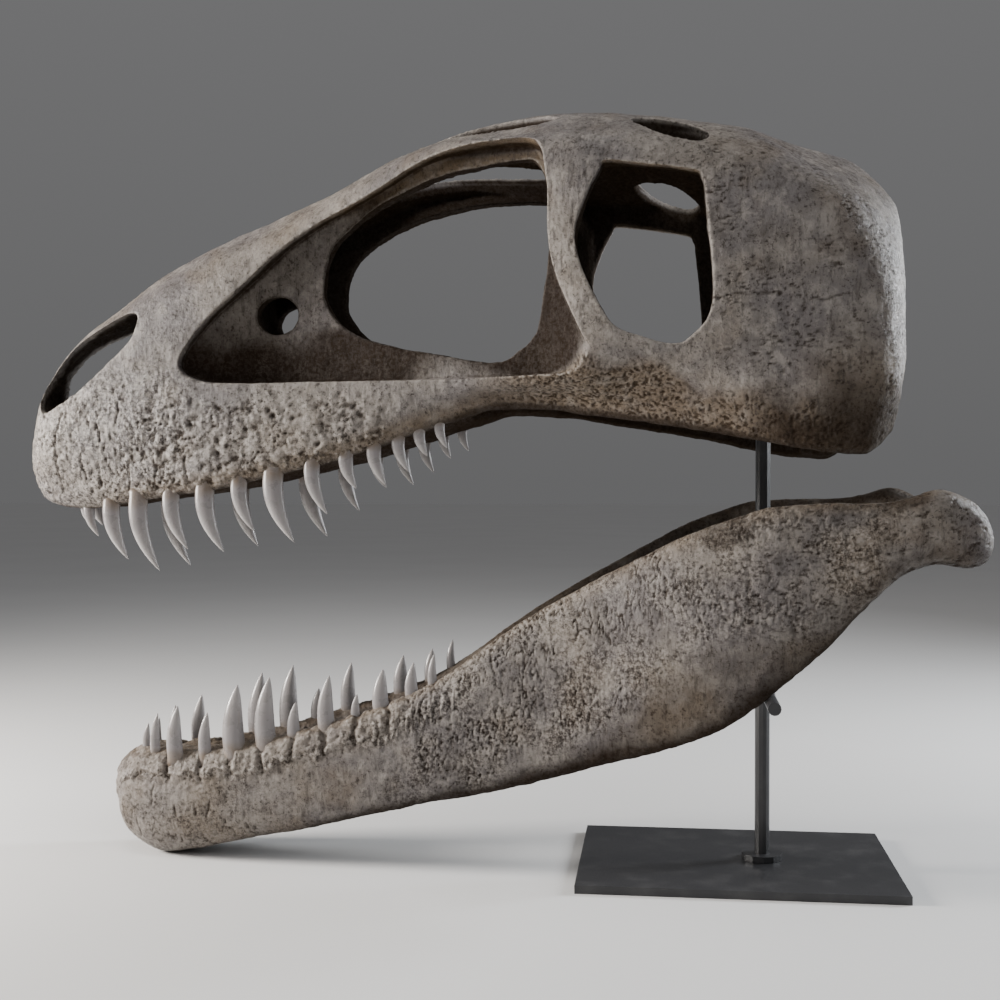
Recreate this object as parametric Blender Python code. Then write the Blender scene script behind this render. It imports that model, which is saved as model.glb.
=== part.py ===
"""Skull of a large tyrannosaurid: cranium, lower jaw and teeth, held open on a plain display stand.

Metres. X runs from the snout to the back of the head, Y to the animal's right, Z up, and the model is
symmetric about the plane Y = 0. The chin and the base of the stand rest on the plane Z = 0.
"""

import math
from collections import namedtuple

import bmesh
import bpy
import numpy as np
from mathutils import Matrix, Vector

SUTURE = 0.0007  # width of the cut between two bones
CLEARANCE = 0.0004  # between pieces that touch
FAR = 0.6  # beyond the skull on either side
FRONT, BACK, BELOW, LOW, HIGH = -0.8, 0.7, -0.1, 0.4, 1.3  # ends of the cutters, clear of the skull

# Cross-sections of the cranium: the roof line, the ridge where the roof turns down, the widest point of
# the side, the point where the side turns in again, and the border of the jaw.
Section = namedtuple("Section", "x top ridge drop side side_z low low_z jaw jaw_z")
CRANIUM = (
    Section(-0.710, 0.612, 0.004, 0.001, 0.008, 0.607, 0.008, 0.598, 0.004, 0.592),
    Section(-0.700, 0.668, 0.014, 0.006, 0.028, 0.645, 0.031, 0.600, 0.016, 0.566),
    Section(-0.673, 0.738, 0.028, 0.011, 0.054, 0.702, 0.058, 0.620, 0.038, 0.544),
    Section(-0.623, 0.800, 0.038, 0.014, 0.067, 0.757, 0.072, 0.640, 0.053, 0.534),
    Section(-0.563, 0.843, 0.042, 0.015, 0.077, 0.791, 0.083, 0.655, 0.068, 0.538),
    Section(-0.493, 0.894, 0.045, 0.016, 0.085, 0.832, 0.093, 0.668, 0.086, 0.549),
    Section(-0.403, 0.939, 0.050, 0.016, 0.094, 0.870, 0.103, 0.680, 0.104, 0.561),
    Section(-0.293, 0.982, 0.060, 0.016, 0.105, 0.907, 0.114, 0.692, 0.118, 0.584),
    Section(-0.203, 1.018, 0.078, 0.016, 0.120, 0.950, 0.124, 0.712, 0.125, 0.605),
    Section(-0.113, 1.060, 0.103, 0.018, 0.146, 0.992, 0.136, 0.735, 0.128, 0.633),
    Section(-0.023, 1.094, 0.140, 0.026, 0.184, 1.008, 0.152, 0.745, 0.129, 0.662),
    Section(0.047, 1.110, 0.170, 0.036, 0.216, 1.003, 0.178, 0.745, 0.131, 0.680),
    Section(0.127, 1.117, 0.201, 0.048, 0.244, 0.995, 0.220, 0.752, 0.142, 0.677),
    Section(0.177, 1.115, 0.213, 0.054, 0.253, 0.990, 0.244, 0.762, 0.154, 0.669),
    Section(0.247, 1.108, 0.222, 0.058, 0.256, 0.985, 0.256, 0.775, 0.175, 0.659),
    Section(0.342, 1.094, 0.227, 0.061, 0.260, 0.970, 0.263, 0.770, 0.207, 0.643),
    Section(0.410, 1.082, 0.229, 0.063, 0.264, 0.952, 0.267, 0.752, 0.230, 0.629),
    Section(0.438, 1.066, 0.226, 0.060, 0.266, 0.942, 0.267, 0.745, 0.238, 0.624),
    Section(0.480, 1.056, 0.221, 0.068, 0.266, 0.928, 0.266, 0.732, 0.244, 0.616),
    Section(0.540, 1.040, 0.207, 0.074, 0.256, 0.888, 0.257, 0.715, 0.237, 0.612),
    Section(0.580, 1.004, 0.186, 0.062, 0.236, 0.850, 0.236, 0.710, 0.214, 0.645),
    Section(0.596, 0.980, 0.168, 0.037, 0.214, 0.842, 0.214, 0.740, 0.198, 0.700),
    Section(0.600, 0.968, 0.152, 0.024, 0.196, 0.840, 0.196, 0.760, 0.184, 0.735),
)
ROOF_SWELL = (0.55, 0.26)  # a point of the roof between its middle and its ridge, as shares of width and drop
LIP_HEIGHT = 0.018  # outer edge of the jaw over its ridge
RIDGE_INSET = 0.015  # ridge of the jaw, inward from that edge
RIDGE_WIDTH = 0.022
RIDGE_RISE = 0.006
VAULT_HEIGHT = 0.034  # palate over the ridge
VAULT_SIDE = (0.4, 0.88)  # a point of the palate, as shares of its half-width and height
SLIM_JAW = 0.05  # these sizes shrink with the jaw where it is slimmer than this

# The hollow of the cranium: wall of the roof, half-widths at the side and low down, and its floor.
Hollow = namedtuple("Hollow", "x roof side low floor")
HOLLOW = (
    Hollow(-0.330, 0.040, 0.046, 0.050, 0.680),
    Hollow(-0.203, 0.028, 0.062, 0.066, 0.682),
    Hollow(-0.113, 0.024, 0.076, 0.078, 0.690),
    Hollow(-0.023, 0.024, 0.090, 0.086, 0.705),
    Hollow(-0.010, 0.024, 0.092, 0.088, 0.560),
    Hollow(0.100, 0.024, 0.110, 0.100, 0.560),
    Hollow(0.135, 0.025, 0.120, 0.110, 0.560),
    Hollow(0.158, 0.026, 0.222, 0.190, 0.560),
    Hollow(0.247, 0.020, 0.226, 0.220, 0.560),
    Hollow(0.342, 0.022, 0.230, 0.230, 0.560),
    Hollow(0.438, 0.030, 0.234, 0.234, 0.560),
    Hollow(0.500, 0.040, 0.230, 0.230, 0.560),
)
HOLLOW_JAW_WALL = 0.030
HOLLOW_RIDGE = (0.004, 0.050)  # its upper corner: inward from the ridge, and outward from its side at most
HOLLOW_SIDE_DROP = 0.01

# Half-width of the sunken plate on the side of the snout, along X.
PLATE = ((-0.50, 0.082), (-0.40, 0.072), (-0.30, 0.070), (-0.22, 0.084), (-0.12, 0.112),
         (-0.04, 0.135), (0.04, 0.155), (0.12, 0.168), (0.150, 0.216), (0.175, 0.238), (0.22, 0.248))

# Openings as seen from the side, (X, Z).
NARIS = ((-0.513, 0.829), (-0.551, 0.820), (-0.620, 0.785), (-0.655, 0.750), (-0.670, 0.722),
         (-0.677, 0.690), (-0.664, 0.682), (-0.635, 0.696), (-0.600, 0.718), (-0.531, 0.778),
         (-0.514, 0.802))
FOSSA = ((-0.441, 0.754), (-0.402, 0.811), (-0.337, 0.869), (-0.258, 0.934), (-0.130, 0.994),
         (-0.070, 1.024), (-0.009, 1.038), (0.051, 1.041), (0.104, 1.032), (0.120, 0.990),
         (0.126, 0.880), (0.164, 0.783), (0.182, 0.750), (0.167, 0.727), (0.047, 0.723),
         (-0.333, 0.721), (-0.414, 0.728))
ANTORBITAL = ((-0.222, 0.860), (-0.214, 0.905), (-0.190, 0.938), (-0.132, 0.978), (-0.045, 1.013),
              (0.018, 1.024), (0.080, 1.030), (0.102, 1.026), (0.117, 0.985), (0.119, 0.890),
              (0.103, 0.790), (0.078, 0.760), (0.043, 0.744), (-0.047, 0.758), (-0.144, 0.780),
              (-0.192, 0.805), (-0.216, 0.835))
MAXILLARY = (-0.296, 0.823, 0.032, 0.028)  # centre X, Z and the two radii
ORBIT = ((0.207, 1.001), (0.312, 0.986), (0.326, 0.975), (0.331, 0.952), (0.341, 0.813),
         (0.312, 0.767), (0.286, 0.759), (0.247, 0.769), (0.207, 0.789), (0.174, 0.850),
         (0.160, 0.901), (0.170, 0.944), (0.192, 0.990))

# Openings of the roof as seen from above, (X, Y) on the right side, cut along a line that leans outward.
FRONT_ROOF = ((-0.160, 0.054), (-0.100, 0.052), (0.000, 0.072), (0.090, 0.108), (0.134, 0.160),
              (0.110, 0.186), (0.050, 0.170), (-0.050, 0.128), (-0.140, 0.084))
REAR_ROOF = ((0.232, 0.166), (0.265, 0.152), (0.302, 0.164), (0.336, 0.212), (0.326, 0.243),
             (0.288, 0.238), (0.252, 0.212))
ROOF_LEAN = 0.55  # sideways run of those cuts for each metre up
FRONT_ROOF_Z = 1.05
REAR_ROOF_Z = 1.045
ROOF_REACH = (-0.09, 0.12)  # of those cuts, below and above that height

# Back of the skull: the hollow behind, the plate that closes it and the braincase in front of it.
RECESS = ((-0.194, 0.50), (-0.188, 0.84), (-0.150, 0.925), (-0.086, 0.953), (0.086, 0.953),
          (0.150, 0.925), (0.188, 0.84), (0.194, 0.50))  # (Y, Z)
OCCIPUT_FACE = 0.535
OCCIPUT_LOW = 0.735
UNDER_OCCIPUT = (0.45, 0.196, 0.5)  # front X, half-width and lower end of the cut below the plate
OCCIPUT_CUT = 0.46  # front of the cut round the plate
BRAINCASE = (0.385, 0.076, 0.786, 0.940)  # front X, half-width, underside and top
CONDYLE_RADIUS = 0.034
CONDYLE_X = 0.548
CONDYLE_Z = 0.800
CONDYLE_STEPS = 6
FORAMEN_RADIUS = 0.026
FORAMEN_Z = 0.868
FORAMEN_DEPTH = 0.060
FORAMEN_STEPS = 12

# Sutures of the cranium, as (X, Z) lines seen from the side, run along Y.
PREMAXILLA_SUTURE = ((-0.590, 0.730), (-0.540, 0.640), (-0.490, 0.575), (-0.484, 0.470))
NARIAL_SUTURE = ((-0.603, 0.770), (-0.613, 0.820), (-0.628, 0.880))
NASAL_SUTURE = ((-0.545, 0.790), (-0.505, 0.822), (-0.360, 0.895), (-0.200, 0.973), (-0.128, 0.963))
NASAL_END = ((-0.036, 0.990), (-0.014, 1.050), (-0.020, 1.150))
LACRIMAL_FOOT = ((0.070, 0.830), (0.124, 0.798), (0.186, 0.800), (0.230, 0.825))
MAXILLA_END = ((0.048, 0.790), (0.066, 0.724), (0.092, 0.600))
JUGAL_END = ((0.300, 0.810), (0.338, 0.728), (0.372, 0.560))
CHEEK_SUTURE = ((0.310, 0.828), (0.410, 0.852), (0.500, 0.832), (0.640, 0.826))
POSTORBITAL_END = ((0.416, 0.840), (0.400, 0.930), (0.378, 1.120))
LACRIMAL_TOP = ((0.258, 0.960), (0.262, 1.005), (0.270, 1.100))
# Sutures of the roof, as (X, Y) lines seen from above, run along Z.
FRONTAL_SIDE = ((0.088, 0.146), (0.150, 0.178), (0.262, 0.200))
FRONTAL_END = ((0.285, -0.200), (0.268, -0.080), (0.268, 0.080), (0.285, 0.200))
PARIETAL_SIDE = ((0.300, 0.210), (0.390, 0.210), (0.500, 0.186), (0.640, 0.176))
MIDDLE_OVERRUN = 0.003  # of a cut in the middle plane, into the next bone
MIDDLE_PALATE = ((0.3, 0.470), (0.3, 0.95), (-0.10, 0.98))  # rear of the cut between the two maxillae
MIDDLE_SNOUT_TOP = 0.95
SIDE_MIN = 0.198  # cuts of the cheek stop short of the plate that closes the back
CHEEK_MIN = 0.1850  # and this one ends in the cut round that plate
ROOF_LOW = 0.988  # lower end of the cuts of the roof
PARIETAL_LOW = 0.800
RIM_OVERRUN = 0.02  # of the body inside the cut round the plate, past its open ends
OCCIPUT_RIM = ((-0.1915, 0.60), (-0.1855, 0.838), (-0.148, 0.922), (-0.085, 0.9495), (0.085, 0.9495),
               (0.148, 0.922), (0.1855, 0.838), (0.1915, 0.60))  # (Y, Z)

# A point inside each bone that the sutures part, on the left side.
BONES = {
    "premaxilla_left": (-0.64, -0.04, 0.60),
    "maxilla_left": (-0.25, -0.10, 0.65),
    "nasals": (-0.35, 0.0, 0.94),
    "lacrimal_left": (0.14, -0.235, 0.90),
    "frontals": (0.17, 0.0, 1.10),
    "parietals": (0.40, 0.0, 1.065),
    "postorbital_left": (0.36, -0.245, 0.93),
    "squamosal_left": (0.50, -0.240, 0.90),
    "jugal_left": (0.22, -0.20, 0.71),
    "quadratojugal_left": (0.45, -0.24, 0.72),
    "occiput": (0.52, 0.0, 0.85),
}

# Upper teeth from the front: X and half-width at the root, length, breadth.
Tooth = namedtuple("Tooth", "x y length breadth")
UPPER_TEETH = (
    Tooth(-0.618, 0.020, 0.034, 0.017), Tooth(-0.606, 0.036, 0.050, 0.018),
    Tooth(-0.563, 0.053, 0.088, 0.027), Tooth(-0.514, 0.069, 0.112, 0.029),
    Tooth(-0.459, 0.079, 0.086, 0.026), Tooth(-0.403, 0.089, 0.097, 0.029),
    Tooth(-0.348, 0.097, 0.076, 0.025), Tooth(-0.294, 0.103, 0.104, 0.031),
    Tooth(-0.234, 0.109, 0.076, 0.024), Tooth(-0.183, 0.111, 0.052, 0.022),
    Tooth(-0.141, 0.112, 0.060, 0.022), Tooth(-0.105, 0.112, 0.052, 0.020),
    Tooth(-0.074, 0.113, 0.040, 0.018), Tooth(-0.044, 0.114, 0.038, 0.016),
)
LOWER_TEETH = (
    Tooth(-0.519, 0.024, 0.046, 0.013), Tooth(-0.499, 0.040, 0.064, 0.016),
    Tooth(-0.462, 0.056, 0.078, 0.025), Tooth(-0.413, 0.061, 0.066, 0.020),
    Tooth(-0.366, 0.065, 0.102, 0.034), Tooth(-0.316, 0.068, 0.104, 0.032),
    Tooth(-0.272, 0.071, 0.056, 0.020), Tooth(-0.221, 0.075, 0.082, 0.026),
    Tooth(-0.176, 0.078, 0.040, 0.014), Tooth(-0.137, 0.081, 0.064, 0.025),
    Tooth(-0.090, 0.085, 0.054, 0.020), Tooth(-0.058, 0.090, 0.050, 0.014),
)
PREMAXILLARY_TEETH = 4  # of those above, on each side
TOOTH_ROOT = 0.012
TOOTH_HOOK = 0.30  # how far the point of an upper tooth bends back, as a share of its length
LOWER_HOOK = 0.02
TOOTH_SIDES = 6
TOOTH_RINGS = (-1, 0.35, 0.72, 0.97)  # the first lies in the bone
TOOTH_FLATNESS = 0.72
UPPER_SOCKET = 0.004  # root of a tooth inside the border of the jaw
LOWER_SOCKET = 0.006

# Cross-sections of one side of the lower jaw: upper and lower edge, outer face, thickness and the lean
# of its lower edge toward the middle.
Ramus = namedtuple("Ramus", "x top base outer thick lean")
JAW = (
    Ramus(-0.570, 0.112, 0.078, 0.012, 0.024, 0.000),
    Ramus(-0.562, 0.136, 0.048, 0.034, 0.068, 0.000),
    Ramus(-0.545, 0.152, 0.026, 0.050, 0.100, 0.002),
    Ramus(-0.520, 0.163, 0.009, 0.062, 0.110, 0.004),
    Ramus(-0.485, 0.163, 0.000, 0.071, 0.110, 0.006),
    Ramus(-0.440, 0.164, 0.008, 0.078, 0.100, 0.007),
    Ramus(-0.390, 0.171, 0.021, 0.083, 0.082, 0.008),
    Ramus(-0.340, 0.180, 0.034, 0.087, 0.060, 0.008),
    Ramus(-0.262, 0.200, 0.050, 0.093, 0.050, 0.008),
    Ramus(-0.182, 0.226, 0.071, 0.100, 0.046, 0.008),
    Ramus(-0.105, 0.256, 0.091, 0.107, 0.044, 0.008),
    Ramus(-0.044, 0.290, 0.105, 0.113, 0.042, 0.009),
    Ramus(0.043, 0.353, 0.124, 0.123, 0.040, 0.012),
    Ramus(0.120, 0.402, 0.146, 0.137, 0.038, 0.016),
    Ramus(0.190, 0.441, 0.170, 0.158, 0.036, 0.020),
    Ramus(0.250, 0.473, 0.190, 0.186, 0.036, 0.026),
    Ramus(0.310, 0.504, 0.212, 0.213, 0.036, 0.030),
    Ramus(0.378, 0.530, 0.249, 0.234, 0.036, 0.030),
    Ramus(0.430, 0.544, 0.291, 0.242, 0.038, 0.026),
    Ramus(0.503, 0.548, 0.359, 0.244, 0.040, 0.018),
    Ramus(0.560, 0.548, 0.422, 0.244, 0.046, 0.008),
    Ramus(0.600, 0.554, 0.455, 0.243, 0.056, 0.003),
    Ramus(0.640, 0.566, 0.466, 0.240, 0.064, 0.000),
    Ramus(0.680, 0.553, 0.460, 0.232, 0.062, 0.000),
    Ramus(0.702, 0.530, 0.468, 0.220, 0.044, 0.000),
    Ramus(0.711, 0.508, 0.486, 0.208, 0.018, 0.000),
)
JAW_SQUARENESS = 2.7
JAW_SIDES = 8
CHIN_FLAT = 0.0012

# Sutures of the lower jaw, as (X, Z) lines, and a point inside each of its bones.
DENTARY_END = ((0.020, 0.400), (0.050, 0.330), (0.070, 0.270), (0.100, 0.200), (0.120, 0.080))
ANGULAR_TOP = ((0.0846, 0.236), (0.250, 0.330), (0.400, 0.400), (0.5624, 0.453))
ARTICULAR_FRONT = ((0.555, 0.600), (0.560, 0.500), (0.565, 0.400))
JAW_BONES = {"dentary": (-0.25, 0.14), "surangular": (0.35, 0.45), "angular": (0.35, 0.28),
             "articular": (0.64, 0.52)}

# Pterygoids under the braincase: (X, Y, Z) of the bar on the right side.
PTERYGOID = ((-0.060, 0.034, 0.7155), (0.100, 0.042, 0.7295), (0.230, 0.060, 0.744), (0.372, 0.058, 0.7725),
             (0.430, 0.056, 0.7722))
PTERYGOID_RADIUS = 0.013

# Display stand.
BASE_SIZE = (0.46, 0.34, 0.012)
BASE_X = 0.385
ROD_X = 0.425
ROD_RADIUS = 0.011
FOOT_RADIUS = 0.030
FOOT_HEIGHT = 0.009
PAD_RADIUS = 0.020
PAD_HEIGHT = 0.008
YOKE_X = ROD_X
YOKE_RADIUS = 0.009
YOKE_HALF = 0.232
COLLAR_RADIUS = 0.019
COLLAR_HEIGHT = 0.034
ROUND_STEPS = 12

# Finishes: colour, roughness and metallic.
BONE = ((0.50, 0.44, 0.40), 0.62, 0.0)
JAW_BONE = ((0.48, 0.42, 0.37), 0.62, 0.0)
STEEL = ((0.03, 0.03, 0.032), 0.35, 0.9)
SHARP_ANGLE = math.radians(38)


# Helpers for curves, lofts and prisms

def smooth(knots, x):
    """Value at x of a curve through (x, value) knots that never overshoots between them."""
    xs, values = np.array(knots, float).T
    steps, rises = np.diff(xs), np.diff(values)
    slopes = rises / steps
    tangents = np.empty(len(xs))
    tangents[0], tangents[-1] = slopes[0], slopes[-1]
    same = slopes[:-1] * slopes[1:] > 0
    mean = 2 * slopes[:-1] * slopes[1:] / np.where(same, slopes[:-1] + slopes[1:], 1)
    tangents[1:-1] = np.where(same, mean, 0)
    i = int(np.clip(np.searchsorted(xs, x) - 1, 0, len(steps) - 1))
    u = min(max((x - xs[i]) / steps[i], 0), 1)
    return float(
        values[i] + rises[i] * u * u * (3 - 2 * u)
        + steps[i] * u * (1 - u) * (tangents[i] * (1 - u) - tangents[i + 1] * u)
    )


def at(rows, x):
    """The row of a table of cross-sections at any x between its ends."""
    first = type(rows[0])
    columns = [smooth([(row.x, getattr(row, name)) for row in rows], x) for name in first._fields[1:]]
    return first(x, *columns)


def rounded(points, steps, closed=False):
    """A smooth line through the points, with this many steps from each to the next."""
    points = [np.array(point, float) for point in points]
    count = len(points)
    line = []
    for i in range(count if closed else count - 1):
        if closed:
            before, start, end, after = (points[(i + k) % count] for k in (-1, 0, 1, 2))
        else:
            before, start, end, after = (points[min(max(i + k, 0), count - 1)] for k in (-1, 0, 1, 2))
        for step in range(steps):
            u = step / steps
            line.append(0.5 * (
                2 * start + (end - before) * u
                + (2 * before - 5 * start + 4 * end - after) * u * u
                + (3 * start - before - 3 * end + after) * u ** 3
            ))
    if not closed:
        line.append(points[-1])
    return line


def add_object(name, mesh, collection):
    thing = bpy.data.objects.new(name, mesh)
    collection.objects.link(thing)
    if collection is cutters:
        thing.hide_render = True
        thing.display_type = "WIRE"
    return thing


def loft(name, rings, collection):
    """A closed body through rings of the same number of points, with a flat cap at each end."""
    shape = bmesh.new()
    rows = [[shape.verts.new(tuple(point)) for point in ring] for ring in rings]
    count = len(rows[0])
    for row, following in zip(rows, rows[1:]):
        for i in range(count):
            j = (i + 1) % count
            shape.faces.new((row[i], row[j], following[j], following[i]))
    shape.faces.new(rows[0][::-1])
    shape.faces.new(rows[-1])
    bmesh.ops.triangulate(shape, faces=shape.faces[:])
    bmesh.ops.recalc_face_normals(shape, faces=shape.faces[:])
    if shape.calc_volume(signed=True) < 0:
        bmesh.ops.reverse_faces(shape, faces=shape.faces[:])
    mesh = bpy.data.meshes.new(name)
    shape.to_mesh(mesh)
    shape.free()
    return add_object(name, mesh, collection)


def side_prism(name, outline, near=-FAR, far=FAR):
    """A cutter with an outline in (X, Z), run along Y."""
    return loft(name, [[(x, y, z) for x, z in outline] for y in (near, far)], cutters)


def ribbon(points, width):
    """Outline of a strip of this width along an open line of 2D points."""
    line = np.array(points)
    along = np.gradient(line, axis=0)
    along /= np.linalg.norm(along, axis=1)[:, None]
    across = np.stack([-along[:, 1], along[:, 0]], axis=1) * width / 2
    return [tuple(p) for p in line + across] + [tuple(p) for p in (line - across)[::-1]]


def combine(target, tool, operation, solver="EXACT"):
    modifier = target.modifiers.new(tool.name, "BOOLEAN")
    modifier.operation = operation
    modifier.solver = solver
    modifier.object = tool
    bpy.context.view_layer.update()
    mesh = bpy.data.meshes.new_from_object(target.evaluated_get(bpy.context.evaluated_depsgraph_get()))
    target.modifiers.clear()
    old = target.data
    target.data = mesh
    bpy.data.meshes.remove(old)


def cut(target, tool, solver="EXACT"):
    combine(target, tool, "DIFFERENCE", solver)


def mirrored(points):
    return [(x, -y, z) for x, y, z in points]


# Cranium

def hull_ring(x):
    """Closed outline of the cranium at x, from the middle of the roof round both sides."""
    s = at(CRANIUM, x)
    small = min(1, s.jaw / SLIM_JAW)
    across, down = ROOF_SWELL
    keys = [(0, s.top), (across * s.ridge, s.top - down * s.drop), (s.ridge, s.top - s.drop),
            (s.side, s.side_z), (s.low, s.low_z), (s.jaw, s.jaw_z + LIP_HEIGHT * small)]
    side = rounded(keys, 2)
    del side[7]
    del side[1]
    ridge = s.jaw - RIDGE_INSET * small
    vault = VAULT_HEIGHT * small
    side += [(ridge, s.jaw_z), (ridge - RIDGE_WIDTH * small, s.jaw_z + RIDGE_RISE * small),
             (VAULT_SIDE[0] * s.jaw, s.jaw_z + VAULT_SIDE[1] * vault), (0, s.jaw_z + vault)]
    half = [(x, float(y), float(z)) for y, z in side]
    return half + mirrored(half[1:-1])[::-1]


def hollow_ring(x):
    s, h = at(CRANIUM, x), at(HOLLOW, x)
    across, down = ROOF_SWELL
    ridge = min(s.ridge - HOLLOW_RIDGE[0], h.side + HOLLOW_RIDGE[1])
    jaw = min(s.jaw - HOLLOW_JAW_WALL, h.low)
    keys = [(0, s.top - h.roof), (across * ridge, s.top - down * s.drop - h.roof),
            (ridge, s.top - s.drop - h.roof), (h.side, s.side_z - HOLLOW_SIDE_DROP), (h.low, s.low_z),
            (jaw, h.floor)]
    half = [(x, float(y), float(z)) for y, z in keys] + [(x, 0.0, h.floor)]
    return half + mirrored(half[1:-1])[::-1]


def plate_core():
    """The body between the sunken plates of the two sides."""
    rings = []
    for x, half in PLATE:
        rings.append([(x, half, LOW), (x, half, HIGH), (x, -half, HIGH), (x, -half, LOW)])
    return loft("plate_core", rings, cutters)


def roof_cutter(name, outline, z, side):
    rings = []
    for rise in ROOF_REACH:
        rings.append([(x, side * (y + ROOF_LEAN * rise), z + rise) for x, y in rounded(outline, 2, True)])
    return loft(name, rings, cutters)


def cranium_shell():
    shell = loft("cranium", [hull_ring(s.x) for s in CRANIUM], parts)
    cut(shell, loft("hollow", [hollow_ring(h.x) for h in HOLLOW], cutters))
    fossa = side_prism("fossa", rounded(FOSSA, 1, True))
    cut(fossa, plate_core())
    cut(shell, fossa)
    cut(shell, side_prism("naris", NARIS))
    cut(shell, side_prism("antorbital", ANTORBITAL))
    cut(shell, side_prism("orbit", ORBIT))
    x, z, long, high = MAXILLARY
    circle = [(x + long * math.cos(a), z + high * math.sin(a)) for a in np.linspace(0, 2 * math.pi, 11)[:-1]]
    cut(shell, side_prism("maxillary", circle))
    for side in (-1, 1):
        cut(shell, roof_cutter("front_roof", FRONT_ROOF, FRONT_ROOF_Z, side))
        cut(shell, roof_cutter("rear_roof", REAR_ROOF, REAR_ROOF_Z, side))
    cut(shell, loft("recess", [[(x, y, z) for y, z in RECESS] for x in (OCCIPUT_FACE, BACK)], cutters))
    front, half, low = UNDER_OCCIPUT
    cut(shell, box("under_occiput", (front, -half, low), (BACK, half, OCCIPUT_LOW), cutters))
    return shell


def side_cut(shell, name, line, low=0.0):
    """Cuts along a suture seen from the side; low keeps it off the middle of the skull."""
    strip = ribbon(line, SUTURE)
    if low == 0:
        cut(shell, side_prism(name, strip), "MANIFOLD")
        return
    for side in (-1, 1):
        cut(shell, side_prism(name, strip, side * low, side * FAR), "MANIFOLD")


def roof_cut(shell, name, line, low=ROOF_LOW):
    strip = ribbon(line, SUTURE)
    cut(shell, loft(name, [[(x, y, z) for x, y in strip] for z in (low, HIGH)], cutters), "MANIFOLD")


def middle_cut(shell, name, outline):
    cut(shell, side_prism(name, outline, -SUTURE / 2, SUTURE / 2), "MANIFOLD")


def part_cranium(shell):
    for name, line in (("premaxilla_suture", PREMAXILLA_SUTURE), ("narial_suture", NARIAL_SUTURE),
                       ("nasal_suture", NASAL_SUTURE), ("nasal_end", NASAL_END),
                       ("lacrimal_foot", LACRIMAL_FOOT), ("maxilla_end", MAXILLA_END),
                       ("jugal_end", JUGAL_END)):
        side_cut(shell, name, line)
    side_cut(shell, "cheek_suture", CHEEK_SUTURE, CHEEK_MIN)
    side_cut(shell, "postorbital_end", POSTORBITAL_END, SIDE_MIN)
    side_cut(shell, "lacrimal_top", LACRIMAL_TOP, SIDE_MIN)
    roof_cut(shell, "frontal_end", FRONTAL_END)
    for side in (-1, 1):
        roof_cut(shell, "frontal_side", [(x, side * y) for x, y in FRONTAL_SIDE])
        roof_cut(shell, "parietal_side", [(x, side * y) for x, y in PARIETAL_SIDE], PARIETAL_LOW)
    snout = [(FRONT, LOW)] + [(x + MIDDLE_OVERRUN, z) for x, z in PREMAXILLA_SUTURE[::-1]]
    snout += [(x + MIDDLE_OVERRUN, z) for x, z in NARIAL_SUTURE] + [(FRONT, MIDDLE_SNOUT_TOP)]
    middle_cut(shell, "premaxilla_middle", snout)
    palate = list(PREMAXILLA_SUTURE + MIDDLE_PALATE)
    palate += [(x, z + MIDDLE_OVERRUN) for x, z in NASAL_SUTURE[-2::-1]]
    middle_cut(shell, "maxilla_middle", palate)
    rim = loft("occiput_outer", [[(x, y, z) for y, z in OCCIPUT_RIM] for x in (OCCIPUT_CUT, BACK)], cutters)
    inner = []
    for y, z in OCCIPUT_RIM:
        inner.append((y - math.copysign(SUTURE, y), z - (SUTURE if z > OCCIPUT_LOW else RIM_OVERRUN)))
    ends = (OCCIPUT_CUT - RIM_OVERRUN, BACK + RIM_OVERRUN)
    cut(rim, loft("occiput_inner", [[(x, y, z) for y, z in inner] for x in ends], cutters))
    cut(shell, rim, "MANIFOLD")


def islands(thing):
    """The separate closed bodies of a mesh, as new meshes."""
    shape = bmesh.new()
    shape.from_mesh(thing.data)
    shape.faces.ensure_lookup_table()
    label = {}
    count = 0
    for start in shape.faces:
        if start in label:
            continue
        label[start] = count
        waiting = [start]
        while waiting:
            for edge in waiting.pop().edges:
                for face in edge.link_faces:
                    if face not in label:
                        label[face] = count
                        waiting.append(face)
        count += 1
    number = [label[face] for face in shape.faces]
    shape.free()
    meshes = []
    for body in range(count):
        shape = bmesh.new()
        shape.from_mesh(thing.data)
        shape.faces.ensure_lookup_table()
        others = [face for face, its in zip(shape.faces, number) if its != body]
        bmesh.ops.delete(shape, geom=others, context="FACES")
        mesh = bpy.data.meshes.new("body")
        shape.to_mesh(mesh)
        shape.free()
        meshes.append(mesh)
    return meshes


def bone_points():
    points = {}
    for name, (x, y, z) in BONES.items():
        points[name] = (x, y, z)
        if name.endswith("_left"):
            points[name[:-5] + "_right"] = (x, -y, z)
    return points


def name_bones(meshes):
    """Each body becomes the bone whose label point it comes nearest to."""
    bones = {}
    for name, point in bone_points().items():
        def distance(mesh):
            return min((vert.co - Vector(point)).length for vert in mesh.vertices)
        bones[name] = add_object(name, min(meshes, key=distance), parts)
    return bones


# Teeth

def tooth(name, spot, root_z, up, hook):
    """A curved cone on the border of a jaw, with its point back; up is -1 for an upper tooth."""
    rings = []
    for share in TOOTH_RINGS:
        reach = share * spot.length if share > 0 else -TOOTH_ROOT
        bend = hook * spot.length * max(share, 0) ** 2
        radius = spot.breadth / 2 * (1 - max(share, 0) ** 1.7)
        ring = []
        for i in range(TOOTH_SIDES):
            a = 2 * math.pi * i / TOOTH_SIDES
            ring.append((spot.x + bend + radius * math.cos(a), spot.y + TOOTH_FLATNESS * radius * math.sin(a),
                         root_z + up * reach))
        rings.append(ring)
    return loft(name, rings, cutters)


def add_teeth(bone, name, spots, border, up, hook, side):
    for spot in spots:
        spot = spot._replace(y=side * spot.y)
        combine(bone, tooth(name, spot, border(spot.x), up, hook), "UNION")


def upper_border(x):
    return at(CRANIUM, x).jaw_z + UPPER_SOCKET


def lower_border(x):
    return at(JAW, x).top - LOWER_SOCKET


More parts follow.
